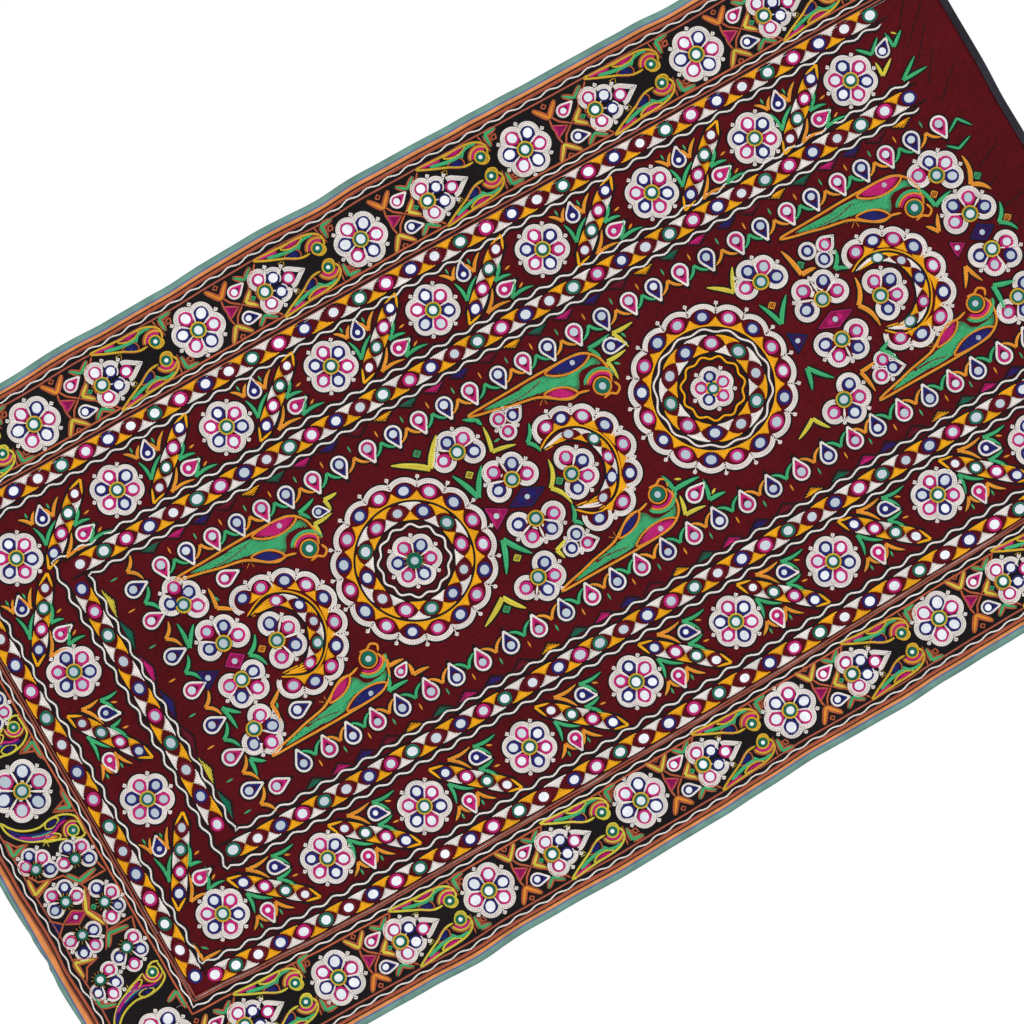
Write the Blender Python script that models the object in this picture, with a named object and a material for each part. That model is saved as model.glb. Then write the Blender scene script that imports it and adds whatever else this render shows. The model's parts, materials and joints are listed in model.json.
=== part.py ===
"""Embroidered wall hanging, as the cloth pieces that its maker cut and sewed together.

A maroon ground cloth is framed at its sides and foot by black border strips. A striped
edging runs round those three sides, and a black tape is folded over the top edge.

Metres, +Z up. The hanging lies in the XZ plane and its face looks along -Y. The origin
is the middle of the top edge, halfway through the cloth. Heights are measured up from
the foot of the hanging, and turned into Z at the end.
"""

import math
from collections import namedtuple

import bmesh
import bpy

# Driving sizes
LENGTH = 1.163
CLOTH_THICKNESS = 0.0020
EDGING_THICKNESS = 0.0024
EDGING_WIDTH = 0.0115
TAPE_WIDTH = 0.0070
TAPE_WALL = 0.0008
PIECE_GAP = 0.0003

# How finely the folds are followed
ROW_STEP = 0.026
GROUND_COLUMNS = 20
BORDER_COLUMNS = 3

# Seams between the ground cloth and the black borders
FOOT_SEAM_HEIGHT_LEFT = 0.108
FOOT_SEAM_HEIGHT_RIGHT = 0.103

# The hanging's sides and the seams of its side borders, which draw in towards the top
Station = namedtuple("Station", "height left_edge left_seam right_seam right_edge")
STATIONS = [
    Station(0.000, -0.3385, -0.2535, 0.2515, 0.3395),
    Station(0.060, -0.3410, -0.2530, 0.2515, 0.3415),
    Station(0.120, -0.3380, -0.2525, 0.2515, 0.3385),
    Station(0.180, -0.3420, -0.2520, 0.2515, 0.3410),
    Station(0.240, -0.3385, -0.2510, 0.2515, 0.3400),
    Station(0.300, -0.3410, -0.2500, 0.2515, 0.3410),
    Station(0.345, -0.3395, -0.2495, 0.2515, 0.3430),
    Station(0.400, -0.3390, -0.2490, 0.2515, 0.3390),
    Station(0.450, -0.3415, -0.2480, 0.2515, 0.3395),
    Station(0.505, -0.3422, -0.2475, 0.2515, 0.3410),
    Station(0.565, -0.3387, -0.2465, 0.2510, 0.3392),
    Station(0.605, -0.3410, -0.2460, 0.2505, 0.3385),
    Station(0.660, -0.3400, -0.2450, 0.2495, 0.3365),
    Station(0.710, -0.3380, -0.2440, 0.2485, 0.3335),
    Station(0.755, -0.3370, -0.2430, 0.2475, 0.3345),
    Station(0.805, -0.3360, -0.2420, 0.2460, 0.3350),
    Station(0.850, -0.3352, -0.2410, 0.2445, 0.3325),
    Station(0.895, -0.3340, -0.2400, 0.2430, 0.3310),
    Station(0.935, -0.3315, -0.2395, 0.2420, 0.3305),
    Station(1.000, -0.3325, -0.2390, 0.2405, 0.3312),
    Station(1.060, -0.3295, -0.2380, 0.2390, 0.3285),
    Station(1.110, -0.3302, -0.2370, 0.2380, 0.3290),
    Station(1.163, -0.3285, -0.2365, 0.2370, 0.3272),
]

# How far the foot and the top stray from straight lines
EdgePoint = namedtuple("EdgePoint", "x strays")
FOOT = [
    EdgePoint(-0.345, 0.0010),
    EdgePoint(-0.250, 0.0028),
    EdgePoint(-0.160, 0.0008),
    EdgePoint(-0.070, 0.0024),
    EdgePoint(0.010, 0.0006),
    EdgePoint(0.080, 0.0012),
    EdgePoint(0.142, 0.0040),
    EdgePoint(0.172, 0.0012),
    EdgePoint(0.215, 0.0030),
    EdgePoint(0.280, 0.0016),
    EdgePoint(0.345, 0.0022),
]
TOP = [
    EdgePoint(-0.345, -0.0012),
    EdgePoint(-0.205, -0.0005),
    EdgePoint(-0.145, 0.0000),
    EdgePoint(-0.105, -0.0012),
    EdgePoint(-0.060, -0.0004),
    EdgePoint(0.030, -0.0012),
    EdgePoint(0.120, -0.0003),
    EdgePoint(0.230, -0.0010),
    EdgePoint(0.345, -0.0004),
]

# Soft folds that fall down the cloth, and how far each stands off the wall
Fold = namedtuple("Fold", "x half_width depth lowest highest")
FOLDS = [
    Fold(-0.215, 0.085, 0.0030, 0.10, 1.12),
    Fold(-0.085, 0.090, 0.0020, -0.10, 0.90),
    Fold(0.035, 0.070, 0.0016, 0.30, 1.20),
    Fold(0.120, 0.090, 0.0028, -0.20, 0.95),
    Fold(0.240, 0.080, 0.0032, 0.05, 1.10),
]

# Flutes along the free sides, where the stitching has drawn the cloth in
Flute = namedtuple("Flute", "side height half_length depth")
FLUTES = [
    Flute("left", 0.090, 0.085, 0.0055),
    Flute("left", 0.262, 0.075, 0.0040),
    Flute("left", 0.385, 0.060, 0.0050),
    Flute("left", 0.560, 0.085, 0.0042),
    Flute("left", 0.725, 0.080, 0.0052),
    Flute("left", 0.925, 0.090, 0.0038),
    Flute("right", 0.120, 0.080, 0.0048),
    Flute("right", 0.255, 0.060, 0.0038),
    Flute("right", 0.415, 0.080, 0.0055),
    Flute("right", 0.600, 0.085, 0.0040),
    Flute("right", 0.720, 0.050, 0.0046),
    Flute("right", 0.905, 0.085, 0.0042),
    Flute("right", 1.040, 0.060, 0.0030),
]
FLUTE_REACH = 0.115
FOOT_KICK = 0.0040
FOOT_KICK_REACH = 0.150
TOP_HELD_REACH = 0.120

# Colour, roughness and metallic value of each cloth
FINISHES = {
    "maroon_cotton": ((0.085, 0.008, 0.012, 1.0), 0.90, 0.0),
    "black_cotton": ((0.012, 0.012, 0.014, 1.0), 0.90, 0.0),
    "striped_satin": ((0.130, 0.270, 0.240, 1.0), 0.55, 0.0),
    "black_tape": ((0.010, 0.010, 0.012, 1.0), 0.70, 0.0),
}


def between(low, high, share):
    return low + (high - low) * share


def smooth(share):
    share = min(1.0, max(0.0, share))
    return share * share * (3.0 - 2.0 * share)


def bell(distance):
    """1 at the middle, falling smoothly to 0 at a distance of 1."""
    return 0.5 + 0.5 * math.cos(math.pi * distance) if abs(distance) < 1.0 else 0.0


def along_table(rows, key, value, at):
    """A smooth curve through one column of a table, read at a place in another."""
    places = [getattr(row, key) for row in rows]
    values = [getattr(row, value) for row in rows]
    if at <= places[0]:
        return values[0]
    if at >= places[-1]:
        return values[-1]
    i = max(n for n, place in enumerate(places) if place <= at)
    share = (at - places[i]) / (places[i + 1] - places[i])
    return between(values[i], values[i + 1], smooth(share))


def side(column, height):
    return along_table(STATIONS, "height", column, height)


def foot_height(x):
    return along_table(FOOT, "x", "strays", x)


def top_height(x):
    return LENGTH + along_table(TOP, "x", "strays", x)


def foot_seam_height(x):
    share = (x - side("left_seam", 0.1)) / (side("right_seam", 0.1) - side("left_seam", 0.1))
    return between(FOOT_SEAM_HEIGHT_LEFT, FOOT_SEAM_HEIGHT_RIGHT, share)


def stand_off(x, height):
    """How far the cloth stands out from the wall's plane at a point of its face."""
    off = 0.0
    for fold in FOLDS:
        down = bell((height - between(fold.lowest, fold.highest, 0.5)) * 2.0
                    / (fold.highest - fold.lowest))
        off += fold.depth * bell((x - fold.x) / fold.half_width) * down
    for flute in FLUTES:
        edge = side(flute.side + "_edge", height)
        reach = smooth(1.0 - abs(edge - x) / FLUTE_REACH)
        off += flute.depth * bell((height - flute.height) / flute.half_length) * reach
    off += FOOT_KICK * smooth(1.0 - height / FOOT_KICK_REACH)
    return off * smooth((LENGTH - height) / TOP_HELD_REACH)


def place(x, height):
    """A point of the cloth's middle, in the hanging's own frame."""
    return (x, -stand_off(x, height), height - LENGTH)


def material(name):
    colour, roughness, metallic = FINISHES[name]
    made = bpy.data.materials.new(name)
    made.use_nodes = True
    shader = made.node_tree.nodes["Principled BSDF"]
    shader.inputs["Base Color"].default_value = colour
    shader.inputs["Roughness"].default_value = roughness
    shader.inputs["Metallic"].default_value = metallic
    made.diffuse_color = colour
    return made


def add_object(name, mesh, finish):
    made = bpy.data.objects.new(name, mesh)
    made.data.materials.append(finish)
    bpy.context.scene.collection.objects.link(made)
    return made


def spread(low, high, steps):
    return [between(low, high, step / steps) for step in range(steps + 1)]


def rows_between(low, high):
    """The heights of the rows that neighbouring pieces share, a little clear of both ends."""
    shared = [step * ROW_STEP for step in range(1, round(LENGTH / ROW_STEP))]
    return [height for height in shared if low + ROW_STEP / 4 < height < high - ROW_STEP / 4]


def cloth_piece(name, columns, lowest, highest, thickness, finish):
    """A sheet laid on the folds.

    columns(height) gives the x of each column at a height. lowest and highest are the
    nominal height of the piece's first and last row, and its exact height at each x.
    """
    low, low_edge = lowest
    high, high_edge = highest
    nominal = [low] + rows_between(low, high) + [high]
    shape = bmesh.new()
    last_column, last_row = len(columns(low)) - 1, len(nominal) - 1
    bmesh.ops.create_grid(shape, x_segments=last_column, y_segments=last_row, size=0.5)
    for vert in shape.verts:
        column = round((vert.co.x + 0.5) * last_column)
        row = round((vert.co.y + 0.5) * last_row)
        x = columns(nominal[row])[column]
        height = nominal[row]
        if row == 0:
            height = low_edge(x)
        if row == last_row:
            height = high_edge(x)
        vert.co = place(x, height)
    mesh = bpy.data.meshes.new(name)
    shape.to_mesh(mesh)
    shape.free()
    made = add_object(name, mesh, finish)
    wall = made.modifiers.new("thickness", "SOLIDIFY")
    wall.thickness = thickness
    wall.offset = 0.0
    wall.use_even_offset = True
    return made


def under_tape(x):
    return top_height(x) - TAPE_WALL - PIECE_GAP


def above_edging(x):
    return foot_height(x) + EDGING_WIDTH + PIECE_GAP


def ground_columns(height):
    return spread(side("left_seam", height), side("right_seam", height), GROUND_COLUMNS)


def border_columns(which, height):
    """The columns of a side border, from left to right, between its edging and its seam."""
    inward = 1.0 if which == "left" else -1.0
    outer = side(which + "_edge", height) + inward * (EDGING_WIDTH + PIECE_GAP)
    inner = side(which + "_seam", height) - inward * PIECE_GAP
    return spread(min(outer, inner), max(outer, inner), BORDER_COLUMNS)


def edging_columns(which, height):
    inward = 1.0 if which == "left" else -1.0
    edge = side(which + "_edge", height)
    return sorted((edge, edge + inward * EDGING_WIDTH))


def side_edging_foot(which):
    """A side edging is cut slantwise at the foot, where it meets the foot edging."""
    def cut(x):
        edge = side(which + "_edge", 0.0)
        return foot_height(x) + abs(x - edge) + 2.0 * PIECE_GAP
    return cut


def foot_edging_columns(height):
    """The foot edging shares the columns above it, and its two ends are cut slantwise."""
    inner = border_columns("left", EDGING_WIDTH)[:-1]
    inner += ground_columns(EDGING_WIDTH)
    inner += border_columns("right", EDGING_WIDTH)[1:]
    if height < EDGING_WIDTH / 2.0:
        inner[0] = side("left_edge", 0.0) + PIECE_GAP
        inner[-1] = side("right_edge", 0.0) - PIECE_GAP
    return inner


def tape_section(x):
    """The folded tape's section at one place along the top edge."""
    inside = EDGING_THICKNESS / 2.0 + PIECE_GAP
    outside = inside + TAPE_WALL
    corners = [
        (outside, TAPE_WIDTH),
        (outside, 0.0),
        (-outside, 0.0),
        (-outside, TAPE_WIDTH),
        (-inside, TAPE_WIDTH),
        (-inside, TAPE_WALL),
        (inside, TAPE_WALL),
        (inside, TAPE_WIDTH),
    ]
    points = []
    for across, down in corners:
        height = top_height(x) - down
        points.append((x, across - stand_off(x, height), height - LENGTH))
    return points


def top_tape(name, finish):
    """The black tape: its section is carried across the cloth and bridged step by step."""
    columns = [STATIONS[-1].left_edge]
    columns += border_columns("left", LENGTH)[:-1] + ground_columns(LENGTH)
    columns += border_columns("right", LENGTH)[1:] + [STATIONS[-1].right_edge]
    shape = bmesh.new()
    rings = []
    for x in columns:
        corners = [shape.verts.new(point) for point in tape_section(x)]
        ring = [shape.edges.new(pair) for pair in zip(corners, corners[1:] + corners[:1])]
        if x in (columns[0], columns[-1]):
            shape.faces.new(corners)
        if rings:
            bmesh.ops.bridge_loops(shape, edges=rings[-1] + ring)
        rings.append(ring)
    bmesh.ops.recalc_face_normals(shape, faces=shape.faces)
    mesh = bpy.data.meshes.new(name)
    shape.to_mesh(mesh)
    shape.free()
    return add_object(name, mesh, finish)


def build():
    for old in list(bpy.data.objects):
        bpy.data.objects.remove(old, do_unlink=True)
    finishes = {name: material(name) for name in FINISHES}
    foot_seam = (FOOT_SEAM_HEIGHT_LEFT, foot_seam_height)
    foot_seam_lower = (FOOT_SEAM_HEIGHT_LEFT, lambda x: foot_seam_height(x) - PIECE_GAP)
    edging_top = (EDGING_WIDTH, above_edging)
    tape_fold = (LENGTH, under_tape)

    cloth_piece("ground_cloth", ground_columns, foot_seam, tape_fold,
                CLOTH_THICKNESS, finishes["maroon_cotton"])
    cloth_piece("foot_border", ground_columns, edging_top, foot_seam_lower,
                CLOTH_THICKNESS, finishes["black_cotton"])
    cloth_piece("foot_edging", foot_edging_columns, (0.0, foot_height),
                (EDGING_WIDTH, lambda x: foot_height(x) + EDGING_WIDTH),
                EDGING_THICKNESS, finishes["striped_satin"])
    for which in ("left", "right"):
        cloth_piece("side_border_" + which, lambda height: border_columns(which, height),
                    edging_top, tape_fold, CLOTH_THICKNESS, finishes["black_cotton"])
        cloth_piece("side_edging_" + which, lambda height: edging_columns(which, height),
                    (0.0, side_edging_foot(which)), tape_fold,
                    EDGING_THICKNESS, finishes["striped_satin"])
    top_tape("top_tape", finishes["black_tape"])


build()
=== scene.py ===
import json
import math
import random

import bmesh
import bpy
import numpy as np
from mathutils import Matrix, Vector

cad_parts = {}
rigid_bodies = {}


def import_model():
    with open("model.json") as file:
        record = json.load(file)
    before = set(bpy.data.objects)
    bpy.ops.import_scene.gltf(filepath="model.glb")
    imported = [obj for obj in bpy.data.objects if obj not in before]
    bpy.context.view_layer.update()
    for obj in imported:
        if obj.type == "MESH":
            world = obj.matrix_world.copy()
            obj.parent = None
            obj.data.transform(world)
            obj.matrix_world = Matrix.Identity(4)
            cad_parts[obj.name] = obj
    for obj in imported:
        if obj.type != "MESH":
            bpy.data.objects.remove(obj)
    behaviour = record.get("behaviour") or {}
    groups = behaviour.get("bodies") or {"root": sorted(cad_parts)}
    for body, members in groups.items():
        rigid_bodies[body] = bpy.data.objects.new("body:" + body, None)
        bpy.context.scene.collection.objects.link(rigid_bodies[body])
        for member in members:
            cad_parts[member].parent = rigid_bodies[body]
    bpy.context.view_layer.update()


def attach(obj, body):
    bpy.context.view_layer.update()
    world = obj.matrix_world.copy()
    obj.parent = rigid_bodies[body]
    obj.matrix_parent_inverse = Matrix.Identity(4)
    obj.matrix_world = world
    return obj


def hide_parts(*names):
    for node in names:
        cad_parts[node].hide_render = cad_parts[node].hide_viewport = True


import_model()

# the unevenness of work done by hand
dice = random.Random(27)

# The hanging's own shape, as in the part: millimetres, heights measured up from the foot
hanging = {
    "length": 1163.0,
    "drawnEdges": (-340.0, -252.0, 251.5, 340.0),
    "footReach": 60.0,
    "clothHalf": 1.0,
    "edgingHalf": 1.2,
    "footSeam": (108.0, 103.0),
    "edgingWidth": 11.5,
    "gap": 0.3,
    "underTape": 1.1,
    "fluteReach": 115.0,
    "footKick": 4.0,
    "footKickReach": 150.0,
    "topHeldReach": 120.0,
    "puckers": ((47.0, 61.0, 0.55, 0.4), (83.0, 37.0, 0.50, 2.1), (29.0, 90.0, 0.35, 4.0)),
}

# height, left edge, left seam, right seam, right edge
stations = np.array([
    (0, -338.5, -253.5, 236.0, 339.5),
    (60, -341.0, -253.0, 237.5, 341.5),
    (120, -338.0, -252.5, 241.5, 338.5),
    (180, -342.0, -252.0, 246.0, 341.0),
    (240, -338.5, -251.0, 249.5, 340.0),
    (300, -341.0, -250.0, 251.0, 341.0),
    (345, -339.5, -249.5, 251.5, 343.0),
    (400, -339.0, -249.0, 251.5, 339.0),
    (450, -341.5, -248.0, 251.5, 339.5),
    (505, -342.2, -247.5, 251.5, 341.0),
    (565, -338.7, -246.5, 251.0, 339.2),
    (605, -341.0, -246.0, 250.5, 338.5),
    (660, -340.0, -245.0, 249.5, 336.5),
    (710, -338.0, -244.0, 248.5, 333.5),
    (755, -337.0, -243.0, 247.5, 334.5),
    (805, -336.0, -242.0, 246.0, 335.0),
    (850, -335.2, -241.0, 244.5, 332.5),
    (895, -334.0, -240.0, 243.0, 331.0),
    (935, -331.5, -239.5, 242.0, 330.5),
    (1000, -332.5, -239.0, 240.5, 331.2),
    (1060, -329.5, -238.0, 239.0, 328.5),
    (1110, -330.2, -237.0, 238.0, 329.0),
    (1163, -328.5, -236.5, 237.0, 327.2),
])
footLine = np.array([
    (-345, 1.0), (-250, 2.8), (-160, 0.8), (-70, 2.4), (10, 0.6), (80, 1.2),
    (142, 4.0), (172, 1.2), (215, 3.0), (280, 1.6), (345, 2.2),
])
topLine = np.array([
    (-345, -1.2), (-205, -0.5), (-145, 0.0), (-105, -1.2), (-60, -0.4),
    (30, -1.2), (120, -0.3), (230, -1.0), (345, -0.4),
])
# x, half width, depth, lowest, highest
folds = (
    (-215, 85, 3.0, 100, 1120), (-85, 90, 2.0, -100, 900), (35, 70, 1.6, 300, 1200),
    (120, 90, 2.8, -200, 950), (240, 80, 3.2, 50, 1100),
)
# column of the edge, height, half length, depth
flutes = (
    (1, 90, 85, 5.5), (1, 262, 75, 4.0), (1, 385, 60, 5.0), (1, 560, 85, 4.2),
    (1, 725, 80, 5.2), (1, 925, 90, 3.8), (4, 120, 80, 4.8), (4, 255, 60, 3.8),
    (4, 415, 80, 5.5), (4, 600, 85, 4.0), (4, 720, 50, 4.6), (4, 905, 85, 4.2),
    (4, 1040, 60, 3.0),
)


def smooth(share):
    share = np.clip(share, 0.0, 1.0)
    return share * share * (3.0 - 2.0 * share)


def bell(distance):
    return np.where(np.abs(distance) < 1.0, 0.5 + 0.5 * np.cos(np.pi * distance), 0.0)


def alongTable(table, column, at):
    places = table[:, 0]
    at = np.clip(at, places[0], places[-1])
    row = np.clip(np.searchsorted(places, at, side="right") - 1, 0, len(places) - 2)
    share = smooth((at - places[row]) / (places[row + 1] - places[row]))
    return table[row, column] + (table[row + 1, column] - table[row, column]) * share


def footHeight(x):
    return alongTable(footLine, 1, x)


def topHeight(x):
    return hanging["length"] + alongTable(topLine, 1, x)


def footSeamHeight(x):
    left, right = hanging["footSeam"]
    return left + (right - left) * (x + 252.5) / 504.0


def standOff(x, y):
    off = np.zeros(np.broadcast(x, y).shape)
    for middle, halfWidth, depth, lowest, highest in folds:
        down = bell((y - (lowest + highest) / 2.0) * 2.0 / (highest - lowest))
        off = off + depth * bell((x - middle) / halfWidth) * down
    for column, height, halfLength, depth in flutes:
        edge = alongTable(stations, column, y)
        reach = smooth(1.0 - np.abs(edge - x) / hanging["fluteReach"])
        off = off + depth * bell((y - height) / halfLength) * reach
    off = off + hanging["footKick"] * smooth(1.0 - y / hanging["footKickReach"])
    for waveX, waveY, depth, turn in hanging["puckers"]:
        off = off + depth * np.sin(x * 2 * np.pi / waveX + turn + 0.9 * np.sin(y / 71.0)) \
            * np.cos(y * 2 * np.pi / waveY + 1.3 * turn + 0.8 * np.sin(x / 53.0))
    return off * smooth((hanging["length"] - y) / hanging["topHeldReach"])


def hang(flat):
    # flat x, height and lift above the cloth's middle, all in mm, to metres on the wall
    x, y, lift = flat[:, 0], flat[:, 1], flat[:, 2]
    return np.column_stack((x, -(standOff(x, y) + lift), y - hanging["length"])) / 1000.0


def drawIn(points):
    # straight lines of the design follow the seams and sides, which draw in towards the top
    points = np.asarray(points, float)
    x, y = points[:, 0], points[:, 1]
    sides = [alongTable(stations, column, y) for column in (1, 2, 3, 4)]
    edges = hanging["drawnEdges"]
    drawn = np.zeros(len(x))
    for i in range(3):
        low, high = edges[i], edges[i + 1]
        inside = ((x >= low) | (i == 0)) & ((x < high) | (i == 2))
        share = (x - low) / (high - low)
        drawn = np.where(inside, sides[i] + (sides[i + 1] - sides[i]) * share, drawn)
    lifted = y + footHeight(x) * np.clip(1.0 - y / hanging["footReach"], 0.0, 1.0)
    return np.column_stack((drawn, lifted))


def placeMesh(mesh):
    flat = np.empty(len(mesh.vertices) * 3, np.float32)
    mesh.vertices.foreach_get("co", flat)
    hung = hang(flat.reshape(-1, 3).astype(float))
    mesh.vertices.foreach_set("co", hung.astype(np.float32).ravel())
    mesh.update()


def meshOf(shape, name):
    mesh = bpy.data.meshes.new(name)
    shape.to_mesh(mesh)
    shape.free()
    return mesh


def newPiece(name, mesh, material):
    piece = bpy.data.objects.new(name, mesh)
    bpy.context.scene.collection.objects.link(piece)
    mesh.materials.clear()
    mesh.materials.append(material)
    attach(piece, "root")
    return piece


# Sewn rows. Every row is a line of chain stitch on the face of the cloth, in flat mm:
# its points, their half widths and how far it lies above the cloth
rows = {}
# the mirrors: x, y, radius, stretch, turn and painted glint, how much reflection is painted into each
# glass
mirrors = []
# flowers that hide what is sewn under them: x, y and radius
covers = []
rowShape = {"ends": 0.45, "step": 2.6, "waveStep": 3.6, "top": 1154.0}
fillShape = {"width": 1.75, "inset": 0.5}


def sew(thread, points, width, lift, ends=rowShape["ends"]):
    # a row is left out above the top and under the covers. Its width is one number, which
    # narrows at the ends, or a number for each point
    points = np.asarray(points, float)
    half = np.asarray(width, float) / 2.0
    kept = points[:, 1] <= rowShape["top"]
    for x, y, radius in covers:
        kept = kept & (np.hypot(points[:, 0] - x, points[:, 1] - y) > radius)
    for run in np.split(np.arange(len(points)), np.flatnonzero(np.diff(kept)) + 1):
        if len(run) < 2 or not kept[run[0]]:
            continue
        part = points[run]
        if half.ndim:
            spread = half[run]
        else:
            spread = np.full(len(part), half)
            if np.hypot(*(part[0] - part[-1])) > 0.01:
                spread[[0, -1]] *= ends
        rows.setdefault(thread, []).append((part, spread, lift))


def line(start, end, step=7.0):
    start, end = np.asarray(start, float), np.asarray(end, float)
    count = max(1, int(math.ceil(np.hypot(*(end - start)) / step)))
    share = np.linspace(0.0, 1.0, count + 1)[:, None]
    return start + (end - start) * share


def path(corners, step):
    parts = [line(a, b, step)[:-1] for a, b in zip(corners, corners[1:])]
    return np.vstack(parts + [np.asarray([corners[-1]], float)])


def arc(x, y, radius, start=0.0, end=360.0, step=rowShape["step"]):
    count = max(4, int(math.ceil(abs(math.radians(end - start)) * radius / step)))
    turn = np.radians(np.linspace(start, end, count + 1))
    return np.column_stack((x + radius * np.cos(turn), y + radius * np.sin(turn)))


def ring(thread, x, y, radius, width, lift, step=rowShape["step"]):
    sew(thread, arc(x, y, radius, step=step), width, lift)


def smoothLine(corners, closed=False, step=2.8):
    # a flowing curve through a few points
    corners = np.asarray(corners, float)
    if closed:
        corners = np.vstack((corners[-1], corners, corners[0], corners[1]))
    else:
        corners = np.vstack((2 * corners[0] - corners[1], corners, 2 * corners[-1] - corners[-2]))
    made = []
    for a, b, c, d in zip(corners, corners[1:], corners[2:], corners[3:]):
        count = max(1, int(math.ceil(np.hypot(*(c - b)) / step)))
        for k in range(count):
            t = k / count
            made.append(0.5 * (2 * b + (c - a) * t + (2 * a - 5 * b + 4 * c - d) * t * t
                               + (3 * b - a - 3 * c + d) * t ** 3))
    made.append(corners[-2])
    return np.array(made)


def offset(points, distance):
    # a line beside another, on its left where the distance is above nothing
    ahead = np.gradient(points, axis=0)
    ahead /= np.maximum(np.hypot(ahead[:, 0], ahead[:, 1]), 1e-6)[:, None]
    return points + distance * np.column_stack((-ahead[:, 1], ahead[:, 0]))


def fill(thread, shapes, angle, pitch, lift):
    # rows side by side across a shape, stopping short of the shapes inside it
    inset = fillShape["inset"]
    turn = math.radians(angle)
    across = np.array(((math.cos(turn), math.sin(turn)), (-math.sin(turn), math.cos(turn))))
    turned = [np.asarray(shape, float) @ across.T for shape in shapes]
    low = min(shape[:, 1].min() for shape in turned)
    high = max(shape[:, 1].max() for shape in turned)
    count = max(1, int((high - low - 0.6) / pitch))
    for k in range(count + 1):
        y = (low + high) / 2.0 + (k - count / 2.0) * pitch
        crossings = []
        for shape in turned:
            nextOne = np.roll(shape, -1, axis=0)
            hit = (shape[:, 1] > y) != (nextOne[:, 1] > y)
            a, b = shape[hit], nextOne[hit]
            crossings += list(a[:, 0] + (y - a[:, 1]) / (b[:, 1] - a[:, 1]) * (b[:, 0] - a[:, 0]))
        crossings.sort()
        for start, end in zip(crossings[::2], crossings[1::2]):
            if end - start > 2.2 * inset:
                row = line((start + inset, y), (end - inset, y), 8.0) @ across
                sew(thread, row, fillShape["width"], lift)


def wave(start, end, depth, length, turn=0.0):
    start, end = np.asarray(start, float), np.asarray(end, float)
    reach = np.hypot(*(end - start))
    count = max(2, int(reach / rowShape["waveStep"]))
    share = np.linspace(0.0, 1.0, count + 1)
    ahead = (end - start) / reach
    swing = depth * np.sin(share * reach * 2 * np.pi / length + turn)
    return start + np.outer(share * reach, ahead) + np.outer(swing, (-ahead[1], ahead[0]))


def mirror(x, y, radius, ringThread=None, ringWidth=2.2, stretch=1.0, turn=0.0):
    if y > rowShape["top"] - 8.0:
        return x, y
    x += dice.uniform(-0.3, 0.3)
    y += dice.uniform(-0.3, 0.3)
    radius *= dice.uniform(0.93, 1.06)
    # painted reflection: each glass gets a random glint, and mirrors towards the sides are painted
    # brighter
    edge = min(1.0, max(0.0, (abs(x) - 95.0) / 120.0))
    mirrors.append((x, y, radius, stretch * dice.uniform(0.94, 1.06), turn + dice.uniform(-9, 9),
                    dice.random() * (0.58 - 0.3 * edge) + 0.72 * edge))
    if ringThread:
        around = arc(0, 0, 1.0, step=0.45)
        angle = np.arctan2(around[:, 1], around[:, 0])
        uneven = 1.0 + dice.uniform(0.0, 0.05) * np.cos(4 * angle + dice.uniform(0, 6.28))
        uneven += dice.uniform(0.0, 0.03) * np.cos(3 * angle + dice.uniform(0, 6.28))
        around = around * uneven[:, None]
        around = around * ((radius + ringWidth * 0.40) * stretch, radius + ringWidth * 0.40)
        bend = math.radians(turn)
        about = np.array(((math.cos(bend), math.sin(bend)), (-math.sin(bend), math.cos(bend))))
        sew(ringThread, around @ about + (x, y), ringWidth, 0.45)
    return x, y


# Motifs
ringThreads = {"m": "magenta", "n": "navy", "g": "darkGreen", "r": "claret"}
petal = {"mirror": 3.95, "ring": 6.55, "first": 7.5, "rows": 3, "pitch": 1.6, "width": 1.55,
         "outline": 1.5, "picot": 3.0, "shift": 0.9, "near": 1.6, "inner": -0.05}
wedge = {"halfWidth": 8.0, "offsets": (7.4, 6.0, 4.6, 3.2, 1.9, 0.8), "mirror": 4.2, "width": 1.95}
# radius and tip of the rows round a drop. The filling goes round a small mirror
dropShape = {"mirror": 3.8, "filling": (3.4, 6.8), "ring": (4.9, 10.6), "white": (7.2, 14.8),
             "black": (9.1, 18.6), "stem": (5.0, 8.6)}


def runsOf(keep):
    # stretches of a closed line that are kept, as lists of places on it
    count = len(keep)
    if keep.all():
        return [list(range(count)) + [0]]
    start = int(np.argmin(keep))
    found, run = [], []
    for k in range(1, count + 1):
        place = (start + k) % count
        if keep[place]:
            run.append(place)
        elif run:
            found.append(run)
            run = []
    return found


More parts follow.
